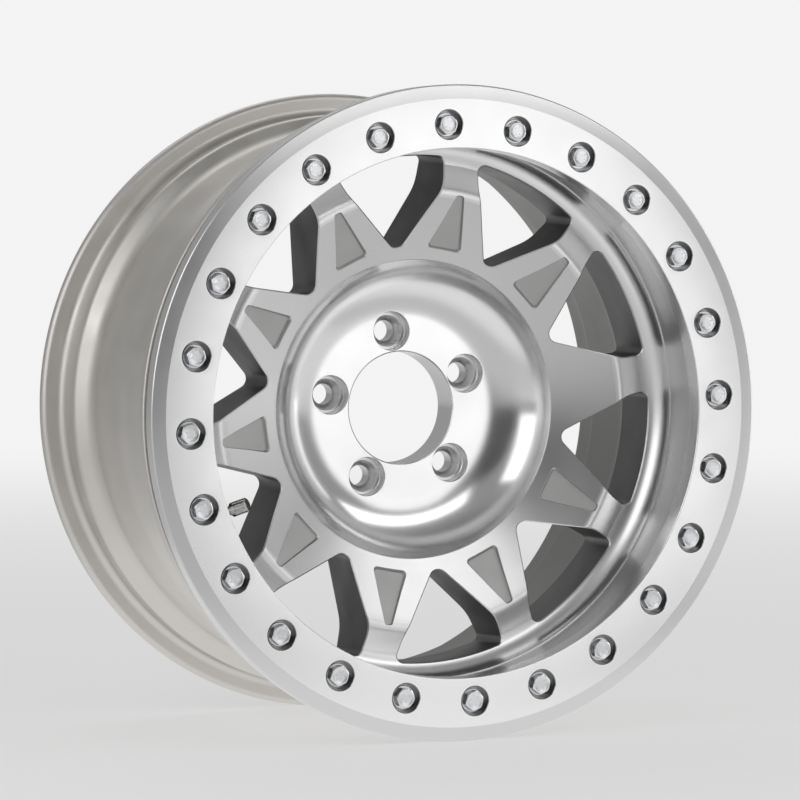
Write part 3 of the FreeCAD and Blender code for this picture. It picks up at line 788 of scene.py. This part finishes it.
def back_cuts(bm, rim, hub, spokes, face):
    """Cutters of the hollows behind the spokes and in the mounting pad."""
    def hollow(drop, grow, level):
        corner = 6 * MM + grow
        path = rounded([
            (-spokes.hollow_inner_half - grow, spokes.hollow_inner - grow, corner, 0),
            (-spokes.hollow_outer_half - grow, spokes.hollow_outer + grow, corner, 0),
            (spokes.hollow_outer_half + grow, spokes.hollow_outer + grow, corner, 0),
            (spokes.hollow_inner_half + grow, spokes.hollow_inner - grow, corner, 0),
        ], True, 8)
        points = []
        for point, finish in path:
            floor = face.rim_depth - face.slope * (point.y - face.rim_radius) + spokes.skin + drop
            points.append(Vector((point.x, (level or floor) - rim.hub_face_depth, point.y)))
        return points

    beyond = rim.hub_face_depth + 1 * MM
    rings = [hollow(0, -2 * MM, None), hollow(0.6 * MM, -0.6 * MM, None), hollow(2 * MM, 0, None),
             hollow(0, 0, beyond)]
    loft_round(bm, rings, [CAST_IN_SHADE, CAST_IN_SHADE, CAST_IN_SHADE], spokes.clock, spokes.count)
    half, near, far, corner = hub.relief_half, hub.relief_inner, hub.relief_outer, hub.relief_corner
    relief = rounded([(-half, near, corner, 0), (-half, far, corner, 0), (half, far, corner, 0),
                      (half, near, corner, 0)], True)
    bottom = -hub.relief_depth
    rings = [[Vector((point.x, level, point.y)) for point, finish in relief] for level in (bottom, 1 * MM)]
    loft_round(bm, rings, [CAST_IN_SHADE], hub.lug_clock, hub.lug_count, 0.5)


def lug_cuts(bm, rim, hub):
    """Cutters of the lug holes: counterbore, cone seat and through hole."""
    top = hub.lug_face_depth - rim.hub_face_depth
    seat = top + hub.lug_counterbore_depth
    wide = hub.lug_counterbore / 2
    cone = hub.lug_seat / 2
    hole = hub.lug_hole / 2
    cone_half_angle = math.radians(30)
    drop = (cone - hole) / math.tan(cone_half_angle)
    edge = 0.6 * MM
    rise = 2.5 * MM
    stations = [(wide + 2 * edge, top - rise), (wide, top + edge), (wide, seat - edge), (wide - edge, seat),
                (cone + 0.3 * MM, seat), (cone, seat + 0.3 * MM), (hole, seat + drop), (hole, 1 * MM)]
    rings = [circle(radius, along, 64, hub.lug_circle / 2) for radius, along in stations]
    loft_round(bm, rings, [BOWL, DISH, DISH, DISH, DISH, FACE, FACE], hub.lug_clock, hub.lug_count)


def valve_matrix(rim, valve):
    """Place of the valve: Y runs along its axis towards the cap."""
    clock, tilt = valve.clock, valve.tilt
    out = Vector((-math.sin(clock) * math.cos(tilt), -math.sin(tilt), -math.cos(clock) * math.cos(tilt)))
    centre = Vector((valve.radius * math.sin(clock), valve.depth - rim.hub_face_depth,
                     valve.radius * math.cos(clock)))
    side = out.cross(Vector((0, 1, 0))).normalized()
    turned = Matrix((side, out, side.cross(out))).transposed()
    return Matrix.Translation(centre) @ turned.to_4x4()


class WHEEL_OT_casting(bpy.types.Operator):
    """Build the casting: hub bowl, spokes, dish and barrel"""
    bl_idname = "wheel.casting"
    bl_label = "Casting"

    def execute(self, context):
        scene = context.scene
        rim, hub, spokes, valve = scene.wheel_rim, scene.wheel_hub, scene.wheel_spokes, scene.wheel_valve
        face = FaceShape(hub, spokes)
        materials = wheel_materials(scene.wheel_finishes)
        bm = bmesh.new()
        lathe(bm, casting_section(rim, hub, spokes, face), 300)
        casting = new_object("wheel_casting", bm, materials)
        bm = bmesh.new()
        window_cuts(bm, rim, spokes, face)
        pocket_cuts(bm, rim, spokes, face)
        back_cuts(bm, rim, hub, spokes, face)
        lug_cuts(bm, rim, hub)
        openings = new_object("casting_openings", bm, materials)
        bm = bmesh.new()
        wide = valve.spotface / 2
        hole = valve.hole / 2
        reach = 20 * MM
        stations = [(wide, -reach), (wide, -valve.wall_outer), (hole, -valve.wall_outer),
                    (hole, valve.wall_inner), (wide, valve.wall_inner), (wide, valve.wall_inner + reach)]
        loft(bm, [circle(radius, along, 48) for radius, along in stations], [CAST_IN_SHADE] * 5)
        bm.transform(valve_matrix(rim, valve))
        seat = new_object("valve_seat_cut", bm, materials)
        carve(casting, [openings, seat])
        fit(casting, "cast_alloy", "wheel")
        return {"FINISHED"}


class WHEEL_OT_clamp_ring(bpy.types.Operator):
    """Build the clamp ring with its counterbores"""
    bl_idname = "wheel.clamp_ring"
    bl_label = "Clamp ring"

    def execute(self, context):
        scene = context.scene
        rim, ring, spokes = scene.wheel_rim, scene.wheel_ring, scene.wheel_spokes
        finishes = scene.wheel_finishes
        materials = [
            turned_finish("ring_turned", finishes.ring, 0.24, 0.6, 0.0012, 0.00001),
            # The counterbore walls get the dark painted-shade tone, which stands in for the shade round the
            # bolt heads
            turned_finish("counterbore_wall", finishes.recess_shade, 0.18, 0.2, 0.0010, 0.00001),
            turned_finish("ring_bevel_satin", finishes.bevel, 0.32, 0.3, 0.0012, 0.00001),
        ]
        inner = ring.inner_diameter / 2
        outer = rim.flange_diameter / 2
        pilot = spokes.dish_radius + spokes.dish_step - 0.3 * MM
        pilot_end = rim.clamp_depth + ring.pilot_length
        edge, corner = 0.8 * MM, 1.6 * MM
        grip, rise = 4 * MM, 1.5 * MM
        section = rounded([
            (inner, 0, edge, 0),
            (ring.flat_diameter / 2, 0, 0.5 * MM, 2),
            (outer, ring.bevel_depth, corner, 2),
            (outer, rim.clamp_depth, edge, 0),
            (outer - grip, rim.clamp_depth, 0, 0),
            (outer - grip - rise, rim.clamp_depth + rise, 0, 0),
            (outer - 2 * grip, rim.clamp_depth + rise, 0, 0),
            (outer - 2 * grip - rise, rim.clamp_depth, 0, 0),
            (pilot, rim.clamp_depth, 0, 0),
            (pilot, pilot_end, edge, 0),
            (inner, pilot_end, edge, 0),
        ], True)
        bm = bmesh.new()
        lathe(bm, [(Vector((p.x, p.y - rim.hub_face_depth)), finish) for p, finish in section], 480)
        clamp = new_object("bead_clamp_ring", bm, materials)
        bm = bmesh.new()
        top = -rim.hub_face_depth
        wide = ring.counterbore / 2
        hole = ring.bolt_diameter / 2 + 0.5 * MM
        deep = top + ring.counterbore_depth
        broken = 0.45 * MM
        stations = [(wide + 2 * broken, top - broken), (wide, top + broken), (wide, deep), (hole, deep),
                    (hole, top + rim.clamp_depth + 1 * MM)]
        rings = [circle(radius, along, 64, ring.bolt_circle / 2) for radius, along in stations]
        loft_round(bm, rings, [1, 1, 1, 1], ring.bolt_clock, ring.bolt_count)
        carve(clamp, [new_object("counterbores", bm, materials)])
        fit(clamp, "ring_alloy", "clamp_ring")
        return {"FINISHED"}


def fastener_tree():
    """Node tree that sets a fastener at equal steps round the wheel's axis."""
    tree = bpy.data.node_groups.new("fasteners_round_ring", "GeometryNodeTree")
    for name, kind in (("Fastener", "NodeSocketObject"), ("Finish", "NodeSocketMaterial"),
                       ("Count", "NodeSocketInt"), ("Circle Radius", "NodeSocketFloat"),
                       ("Clock", "NodeSocketFloat"), ("Turn Spread", "NodeSocketFloat"),
                       ("Seed", "NodeSocketInt")):
        tree.interface.new_socket(name, in_out="INPUT", socket_type=kind)
    tree.interface.new_socket("Geometry", in_out="OUTPUT", socket_type="NodeSocketGeometry")
    given = node(tree, "NodeGroupInput").outputs
    link = tree.links.new
    index = node(tree, "GeometryNodeInputIndex")
    points = node(tree, "GeometryNodePoints")
    link(given["Count"], points.inputs["Count"])
    step = node(tree, "ShaderNodeMath", operation="DIVIDE")
    link(index.outputs["Index"], step.inputs[0])
    link(given["Count"], step.inputs[1])
    angle = node(tree, "ShaderNodeMath", operation="MULTIPLY_ADD")
    link(step.outputs["Value"], angle.inputs[0])
    angle.inputs[1].default_value = 2 * math.pi
    link(given["Clock"], angle.inputs[2])
    place = node(tree, "ShaderNodeCombineXYZ")
    for operation, socket in (("SINE", "X"), ("COSINE", "Z")):
        wave = node(tree, "ShaderNodeMath", operation=operation)
        link(angle.outputs["Value"], wave.inputs[0])
        scaled = node(tree, "ShaderNodeMath", operation="MULTIPLY")
        link(wave.outputs["Value"], scaled.inputs[0])
        link(given["Circle Radius"], scaled.inputs[1])
        link(scaled.outputs["Value"], place.inputs[socket])
    link(place.outputs["Vector"], points.inputs["Position"])
    drawn = node(tree, "FunctionNodeRandomValue", data_type="FLOAT")
    link(given["Seed"], drawn.inputs["Seed"])
    floats = [socket for socket in drawn.inputs if socket.type == "VALUE"]
    floats[0].default_value = 0
    link(given["Turn Spread"], floats[1])
    left_at = node(tree, "ShaderNodeCombineXYZ")
    link([socket for socket in drawn.outputs if socket.type == "VALUE"][0], left_at.inputs["Y"])
    shape = node(tree, "GeometryNodeObjectInfo")
    link(given["Fastener"], shape.inputs["Object"])
    placed = node(tree, "GeometryNodeInstanceOnPoints")
    link(points.outputs[0], placed.inputs["Points"])
    link(shape.outputs["Geometry"], placed.inputs["Instance"])
    link(left_at.outputs["Vector"], placed.inputs["Rotation"])
    real = node(tree, "GeometryNodeRealizeInstances")
    link(placed.outputs["Instances"], real.inputs["Geometry"])
    coat = node(tree, "GeometryNodeSetMaterial")
    link(real.outputs["Geometry"], coat.inputs["Geometry"])
    link(given["Finish"], coat.inputs["Material"])
    result = node(tree, "NodeGroupOutput")
    link(coat.outputs["Geometry"], result.inputs["Geometry"])
    return tree


def round_the_ring(name, fastener, finish, ring, turn_spread):
    """All copies of a fastener as one plain mesh object."""
    tree = bpy.data.node_groups.get("fasteners_round_ring") or fastener_tree()
    carrier = bpy.data.objects.new(name, bpy.data.meshes.new(name + "_carrier"))
    bpy.context.scene.collection.objects.link(carrier)
    nodes = carrier.modifiers.new("round", "NODES")
    nodes.node_group = tree
    values = {"Fastener": fastener, "Finish": finish, "Count": ring.bolt_count,
              "Circle Radius": ring.bolt_circle / 2, "Clock": ring.bolt_clock,
              "Turn Spread": turn_spread, "Seed": ring.seed}
    for item in tree.interface.items_tree:
        if item.in_out == "INPUT":
            nodes[item.identifier] = values[item.name]
    baked(carrier)
    bpy.data.meshes.remove(fastener.data)
    return carrier


def bolt_head_loops(ring, seat):
    """Loops of a chamfered hex head with a shallow dished top."""
    columns = 48
    flat = ring.head_flats / 2
    crown = flat - 0.4 * MM
    top = seat - ring.head_height
    chamfer_angle = math.radians(30)
    fall = math.tan(chamfer_angle)
    angles = [2 * math.pi * k / columns for k in range(columns)]
    hexed = [flat / math.cos((a + math.pi / 6) % (math.pi / 3) - math.pi / 6) for a in angles]

    def loop(radii, levels):
        return [Vector((r * math.sin(a), y, r * math.cos(a))) for a, r, y in zip(angles, radii, levels)]

    def disc(radius, level):
        return loop([radius] * columns, [level] * columns)

    # Shares of the crown's radius, and millimetres below the top
    dished = ((0.5, 0.18), (0.86, 0.15), (0.93, 0.02), (1.0, 0.03))
    shoulder = top + dished[-1][1] * MM
    return [disc(crown * part, top + drop * MM) for part, drop in dished] + [
        loop(hexed, [shoulder + (r - crown) * fall for r in hexed]),
        loop(hexed, [seat - 0.5 * MM] * columns),
        disc(flat - 0.1 * MM, seat),
        disc(ring.bolt_diameter / 2, seat),
    ]


def grade_ticks(bm, ring, seat):
    """Six short raised ribs on a bolt head's top."""
    top = seat - ring.head_height
    low, high = top + 0.3 * MM, top + 0.01 * MM
    near, far = 0.17 * ring.head_flats, 0.37 * ring.head_flats
    half, crest = 0.6 * MM, 0.35 * MM
    base = [Vector((x, low, z)) for x, z in ((-half, near), (half, near), (half, far), (-half, far))]
    lip = [Vector((x, high, z)) for x, z in ((-crest, near + crest), (crest, near + crest),
                                             (crest, far - crest), (-crest, far - crest))]
    loft_round(bm, [base, lip], [0], 0.0, 6)


class WHEEL_OT_fasteners(bpy.types.Operator):
    """Build the ring bolts and their washers"""
    bl_idname = "wheel.fasteners"
    bl_label = "Ring bolts and washers"

    def execute(self, context):
        scene = context.scene
        rim, ring, finishes = scene.wheel_rim, scene.wheel_ring, scene.wheel_finishes
        bolt_zinc = grained_finish("zinc_bolt_bright", finishes.zinc, 1.0, 0.22, 0.0010, 0.00005)
        washer_zinc = grained_finish("zinc_washer_bright", finishes.zinc, 1.0, 0.26, 0.0012, 0.00004)
        face = -rim.hub_face_depth
        seat = face + ring.counterbore_depth - ring.washer_thickness
        # Painted shade: the hex sides of the bolt heads darken below the top, for the shade between head and
        # counterbore
        paint_shade_below(bolt_zinc, seat - ring.head_height + 0.4 * MM, 0.8 * MM, 0.35)
        bm = bmesh.new()
        tip = face + rim.clamp_depth + ring.bolt_reach
        shank = ring.bolt_diameter / 2
        end_chamfer = 1 * MM
        loops = bolt_head_loops(ring, seat)
        loops += [circle(shank, tip - end_chamfer, 48), circle(shank - end_chamfer, tip, 48)]
        loft(bm, loops, [0] * (len(loops) - 1))
        grade_ticks(bm, ring, seat)
        bolt = new_object("one_bolt", bm, [bolt_zinc])
        bolts = round_the_ring("ring_bolts_set", bolt, bolt_zinc, ring, math.pi / 3)
        fit(bolts, "zinc_bolt", "ring_bolts")
        bm = bmesh.new()
        soft = 0.35 * MM
        section = rounded([
            (shank + 0.1 * MM, seat, soft / 2, 0),
            (ring.washer_diameter / 2, seat, soft, 0),
            (ring.washer_diameter / 2, seat + ring.washer_thickness, soft / 2, 0),
            (shank + 0.1 * MM, seat + ring.washer_thickness, soft / 2, 0),
        ], True)
        lathe(bm, section, 56)
        washer = new_object("one_washer", bm, [washer_zinc])
        washers = round_the_ring("ring_washers_set", washer, washer_zinc, ring, math.pi / 3)
        fit(washers, "zinc_washer", "ring_washers")
        return {"FINISHED"}


def stem_outline(valve):
    """Section of the stem as (radius, station) points, with the thread on its neck."""
    stem, neck, bore = valve.stem_diameter / 2, valve.stem_neck / 2, valve.bore / 2
    flange, core_bore = valve.flange / 2, valve.core_bore / 2
    edge = 0.4 * MM
    start, end = valve.stem_start, valve.stem_length
    flange_end = start + valve.flange_thickness
    neck_start = valve.nut_end + 2 * MM
    neck_end = end - valve.cap_length + valve.cap_top
    core_bore_start = end - valve.core_bore_length
    outline = [(bore, start), (flange - edge, start), (flange, start + edge), (flange, flange_end),
               (stem, flange_end), (stem, neck_start)]
    pitch = valve.thread_pitch
    root = neck - valve.thread_depth
    along = neck_start
    while along + pitch < neck_end:
        outline += [(root, along + 0.15 * pitch), (root, along + 0.3 * pitch), (neck, along + 0.6 * pitch),
                    (neck, along + 0.85 * pitch)]
        along += pitch
    return outline + [(stem, neck_end), (stem, end), (core_bore, end), (core_bore, core_bore_start),
                      (bore, core_bore_start)]


def cap_loops(valve):
    """Loops of the cap, from the inside of its end round the mouth to its crown."""
    columns = 12 * valve.cap_flutes
    start = valve.stem_length + valve.cap_gasket + valve.cap_top - valve.cap_length
    end = start + valve.cap_length
    fluted = start + valve.cap_plain
    hollow = valve.stem_diameter / 2 + 0.1 * MM
    radius = valve.cap_diameter / 2
    deep = valve.cap_flute_depth
    lip = 0.3 * MM
    edge = radius / 5

    def loop(size, level, flute):
        points = []
        for k in range(columns):
            angle = 2 * math.pi * k / columns
            wave = max(0.0, math.cos(angle * valve.cap_flutes)) ** 0.6
            r = size - flute * wave
            points.append(Vector((r * math.sin(angle), level, r * math.cos(angle))))
        return points

    return [loop(hollow, end - valve.cap_top, 0), loop(hollow, start, 0), loop(radius - lip, start, 0),
            loop(radius, start + lip, 0), loop(radius, fluted, 0), loop(radius, fluted + 0.5 * MM, deep),
            loop(radius, end - edge, deep), loop(radius - edge * 0.4, end - edge * 0.4, deep * 0.5),
            loop(radius - edge, end, 0)]


class WHEEL_OT_valve(bpy.types.Operator):
    """Build the valve's threaded stem, fluted cap and core spring, and finish its small parts"""
    bl_idname = "wheel.valve"
    bl_label = "Tyre valve"

    def execute(self, context):
        scene = context.scene
        rim, valve, finishes = scene.wheel_rim, scene.wheel_valve, scene.wheel_finishes
        nickel = grained_finish("valve_nickel", finishes.nickel, 1.0, 0.30, 0.0006, 0.00003)
        brass = grained_finish("core_brass", finishes.brass, 1.0, 0.30, 0.0006, 0.00002)
        steel = grained_finish("spring_steel", finishes.steel, 1.0, 0.30, 0.0005, 0.00002)
        rubber = grained_finish("seal_rubber", finishes.rubber, 0.0, 0.60, 0.0005, 0.00004)
        place = valve_matrix(rim, valve)
        bm = bmesh.new()
        lathe(bm, [(Vector(point), 0) for point in stem_outline(valve)], 48)
        bm.transform(place)
        threaded = new_object("valve_stem_threaded", bm, [nickel])
        fit(threaded, "stem_metal", "valve_stem")

        bm = bmesh.new()
        loops = cap_loops(valve)
        loft(bm, loops, [0] * (len(loops) - 1))
        bm.transform(place)
        cap = new_object("valve_cap_fluted", bm, [nickel])
        fit(cap, "stem_metal", "valve_cap")

        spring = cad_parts["core_spring"].data
        bm = bmesh.new()
        bm.from_mesh(spring)
        bmesh.ops.remove_doubles(bm, verts=bm.verts, dist=0.001 * MM)
        coil = new_object("core_spring_coil", bm, [steel])
        fit(coil, "spring_steel", "core_spring")
        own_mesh(coil)

        coats = {"valve_nut": nickel, "valve_washer": nickel, "valve_core": brass, "valve_pin": brass,
                 "valve_grommet": rubber, "cap_gasket": rubber, "core_gasket": rubber,
                 "poppet_seal": rubber}
        for name, coat in coats.items():
            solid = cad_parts[name]
            solid.data.materials.clear()
            solid.data.materials.append(coat)
        return {"FINISHED"}


def stand(azimuth, elevation, distance):
    """Place seen from the wheel: degrees to the right of straight ahead and above level."""
    a = math.radians(azimuth)
    e = math.radians(elevation)
    return Vector((math.sin(a) * math.cos(e), -math.cos(a) * math.cos(e), math.sin(e))) * distance


# Soft lamps round the wheel: azimuth and elevation in degrees, width and height in metres, brightness
SOFTBOXES = {
    "front_softbox": (23, 4, 0.60, 0.9, 0.60),
    "top_softbox": (26, 31, 2.0, 0.60, 1.40),
    "right_softbox": (82, 4, 1.7, 1.8, 1.10),
    "left_softbox": (-64, 21, 2.1, 1.6, 1.10),
    "back_softbox": (180, 60, 2.0, 1.2, 0.80),
}
# Painted light: level of the floor's glow as the metal mirrors it, over a stretch in metres: outwards, and to
# the right
FLOOR_NEAR = (0.38, 0.62, 1.0, 0.28)
FLOOR_RIGHT = (0.30, 0.45, 0.0, 0.75)
# Stretch over which the floor fades into the backdrop
FLOOR_FADE = (0.5, 4.0)
LAMP_DISTANCE = 2.3
LAMP_AIM = Vector((0, -0.1, 0))


def softbox(name, azimuth, elevation, width, height, level):
    """Area lamp that looks at the wheel; its power follows from its size and brightness."""
    lamp = bpy.data.lights.new(name, "AREA")
    lamp.shape = "RECTANGLE"
    lamp.size = width
    lamp.size_y = height
    lamp.energy = 4 * width * height * level
    made = bpy.data.objects.new(name, lamp)
    made.location = stand(azimuth, elevation, LAMP_DISTANCE)
    made.rotation_euler = (LAMP_AIM - made.location).to_track_quat("-Z", "Y").to_euler()
    bpy.context.scene.collection.objects.link(made)


def studio_room(stage):
    """Soft plain room, dimmer round the camera and overhead, with a pale backdrop."""
    world = bpy.data.worlds.new("studio_room")
    bpy.context.scene.world = world
    world.use_nodes = True
    tree = world.node_tree
    tree.nodes.clear()
    link = tree.links.new
    way = node(tree, "ShaderNodeTexCoord").outputs["Generated"]

    def lobe(direction, start, end):
        """From 0 to 1 as the view turns towards a direction."""
        turned = dotted(tree, way, Vector(direction).normalized())
        return ranged(tree, turned, start, end, smooth=True)

    def mixed(factor, low, high):
        mix = node(tree, "ShaderNodeMix", data_type="FLOAT")
        link(factor, mix.inputs["Factor"])
        for socket, value in ((mix.inputs[2], low), (mix.inputs[3], high)):
            if isinstance(value, float):
                socket.default_value = value
            else:
                link(value, socket)
        return mix.outputs[0]

    behind = lobe((-0.3, 1, 0), 0.0, 0.6)
    level = mixed(behind, stage.room_level, stage.room_behind)
    right_front = lobe(stand(23, 0, 1), 0.95, 0.99)
    level = mixed(right_front, level, stage.room_front)
    dim_front = lobe(stand(-14, 0, 1), 0.88, 0.95)
    level = mixed(dim_front, level, stage.room_dark)
    overhead = lobe((0, 0, 1), 0.72, 0.9)
    level = mixed(overhead, level, stage.room_above)
    room = node(tree, "ShaderNodeBackground")
    link(level, room.inputs["Strength"])
    backdrop = node(tree, "ShaderNodeBackground")
    backdrop.inputs["Color"].default_value = (*stage.backdrop, 1)
    rays = node(tree, "ShaderNodeLightPath")
    shown = node(tree, "ShaderNodeMixShader")
    link(rays.outputs["Is Camera Ray"], shown.inputs[0])
    link(room.outputs["Background"], shown.inputs[1])
    link(backdrop.outputs["Background"], shown.inputs[2])
    output = node(tree, "ShaderNodeOutputWorld")
    link(shown.outputs["Shader"], output.inputs["Surface"])


def floor_paint(stage):
    """Matt paint that glows paler to the camera and in the metal than it lights the wheel: painted light,
    brightest in the metal near the wheel and to its right.
    """
    paint, shader = new_material("floor_paint", stage.floor, 0.0, 0.7)
    tree = paint.node_tree
    link = tree.links.new
    rays = node(tree, "ShaderNodeLightPath")
    place = node(tree, "ShaderNodeTexCoord").outputs["Object"]
    away = node(tree, "ShaderNodeVectorMath", operation="LENGTH")
    link(place, away.inputs[0])
    distance = away.outputs["Value"]
    close = ranged(tree, distance, *FLOOR_NEAR, smooth=True)
    right = ranged(tree, dotted(tree, place, stand(100, 0, 1)), *FLOOR_RIGHT, smooth=True)
    palest = combined(tree, "MAXIMUM", close, right)
    # Painted light: the floor glows in the metal's reflections, fully near the wheel and to its right, over
    # the wheel's shadow
    mirrored = combined(tree, "MULTIPLY", rays.outputs["Is Glossy Ray"], palest)
    lift = ranged(tree, distance, *FLOOR_FADE, stage.floor_lift, 1.0, smooth=True)
    looked = combined(tree, "MULTIPLY", rays.outputs["Is Camera Ray"], lift)
    part = combined(tree, "MAXIMUM", looked, mirrored)
    pale = node(tree, "ShaderNodeEmission")
    pale.inputs["Color"].default_value = (*stage.backdrop, 1)
    mix = node(tree, "ShaderNodeMixShader")
    link(part, mix.inputs[0])
    link(shader.outputs["BSDF"], mix.inputs[1])
    link(pale.outputs["Emission"], mix.inputs[2])
    link(mix.outputs["Shader"], tree.nodes["Material Output"].inputs["Surface"])
    return paint


class WHEEL_OT_stage(bpy.types.Operator):
    """Set the floor, the studio light and the camera"""
    bl_idname = "wheel.stage"
    bl_label = "Stage"

    def execute(self, context):
        scene = context.scene
        stage = scene.wheel_stage
        floor_gap = 0.2 * MM
        floor_level = CAD_BOX[0].z - floor_gap
        bm = bmesh.new()
        bmesh.ops.create_grid(bm, x_segments=1, y_segments=1, size=6)
        bmesh.ops.translate(bm, verts=bm.verts, vec=(0, 0, floor_level))
        mesh = bpy.data.meshes.new("studio_floor")
        bm.to_mesh(mesh)
        bm.free()
        mesh.materials.append(floor_paint(stage))
        floor = bpy.data.objects.new("studio_floor", mesh)
        scene.collection.objects.link(floor)
        studio_room(stage)
        for name, values in SOFTBOXES.items():
            softbox(name, *values)
        lens = bpy.data.cameras.new("photo_camera")
        lens.sensor_width = 36
        lens.lens = stage.camera_lens
        lens.clip_end = 50
        camera = bpy.data.objects.new("photo_camera", lens)
        camera.location = stage.camera_place
        camera.rotation_euler = (math.pi / 2 - stage.camera_elevation, 0, stage.camera_azimuth)
        scene.collection.objects.link(camera)
        scene.camera = camera
        scene.view_settings.view_transform = "Standard"
        return {"FINISHED"}


class WHEEL_PT_pieces(bpy.types.Panel):
    """Lists the wheel's pieces and its main sizes"""
    bl_idname = "WHEEL_PT_pieces"
    bl_label = "Wheel"
    bl_space_type = "VIEW_3D"
    bl_region_type = "UI"
    bl_category = "Wheel"

    def draw(self, context):
        column = self.layout.column()
        for operator in OPERATORS:
            column.operator(operator.bl_idname)
        for name, group in GROUPS.items():
            box = self.layout.box()
            box.label(text=group.__name__)
            for key in group.__annotations__:
                box.prop(getattr(context.scene, name), key)


GROUPS = {
    "wheel_rim": WheelRimSizes,
    "wheel_hub": WheelHubSizes,
    "wheel_spokes": WheelSpokeSizes,
    "wheel_ring": WheelRingSizes,
    "wheel_valve": WheelValveSizes,
    "wheel_finishes": WheelFinishes,
    "wheel_stage": WheelStage,
}
OPERATORS = [WHEEL_OT_casting, WHEEL_OT_clamp_ring, WHEEL_OT_fasteners, WHEEL_OT_valve, WHEEL_OT_stage]
CLASSES = [*GROUPS.values(), *OPERATORS, WHEEL_PT_pieces]


def register():
    for cls in CLASSES:
        bpy.utils.register_class(cls)
    for name, group in GROUPS.items():
        setattr(bpy.types.Scene, name, bpy.props.PointerProperty(type=group))


def unregister():
    for name in GROUPS:
        delattr(bpy.types.Scene, name)
    for cls in reversed(CLASSES):
        bpy.utils.unregister_class(cls)


def main():
    register()
    bpy.ops.wheel.casting()
    bpy.ops.wheel.clamp_ring()
    bpy.ops.wheel.fasteners()
    bpy.ops.wheel.valve()
    bpy.ops.wheel.stage()


if __name__ == "__main__":
    main()
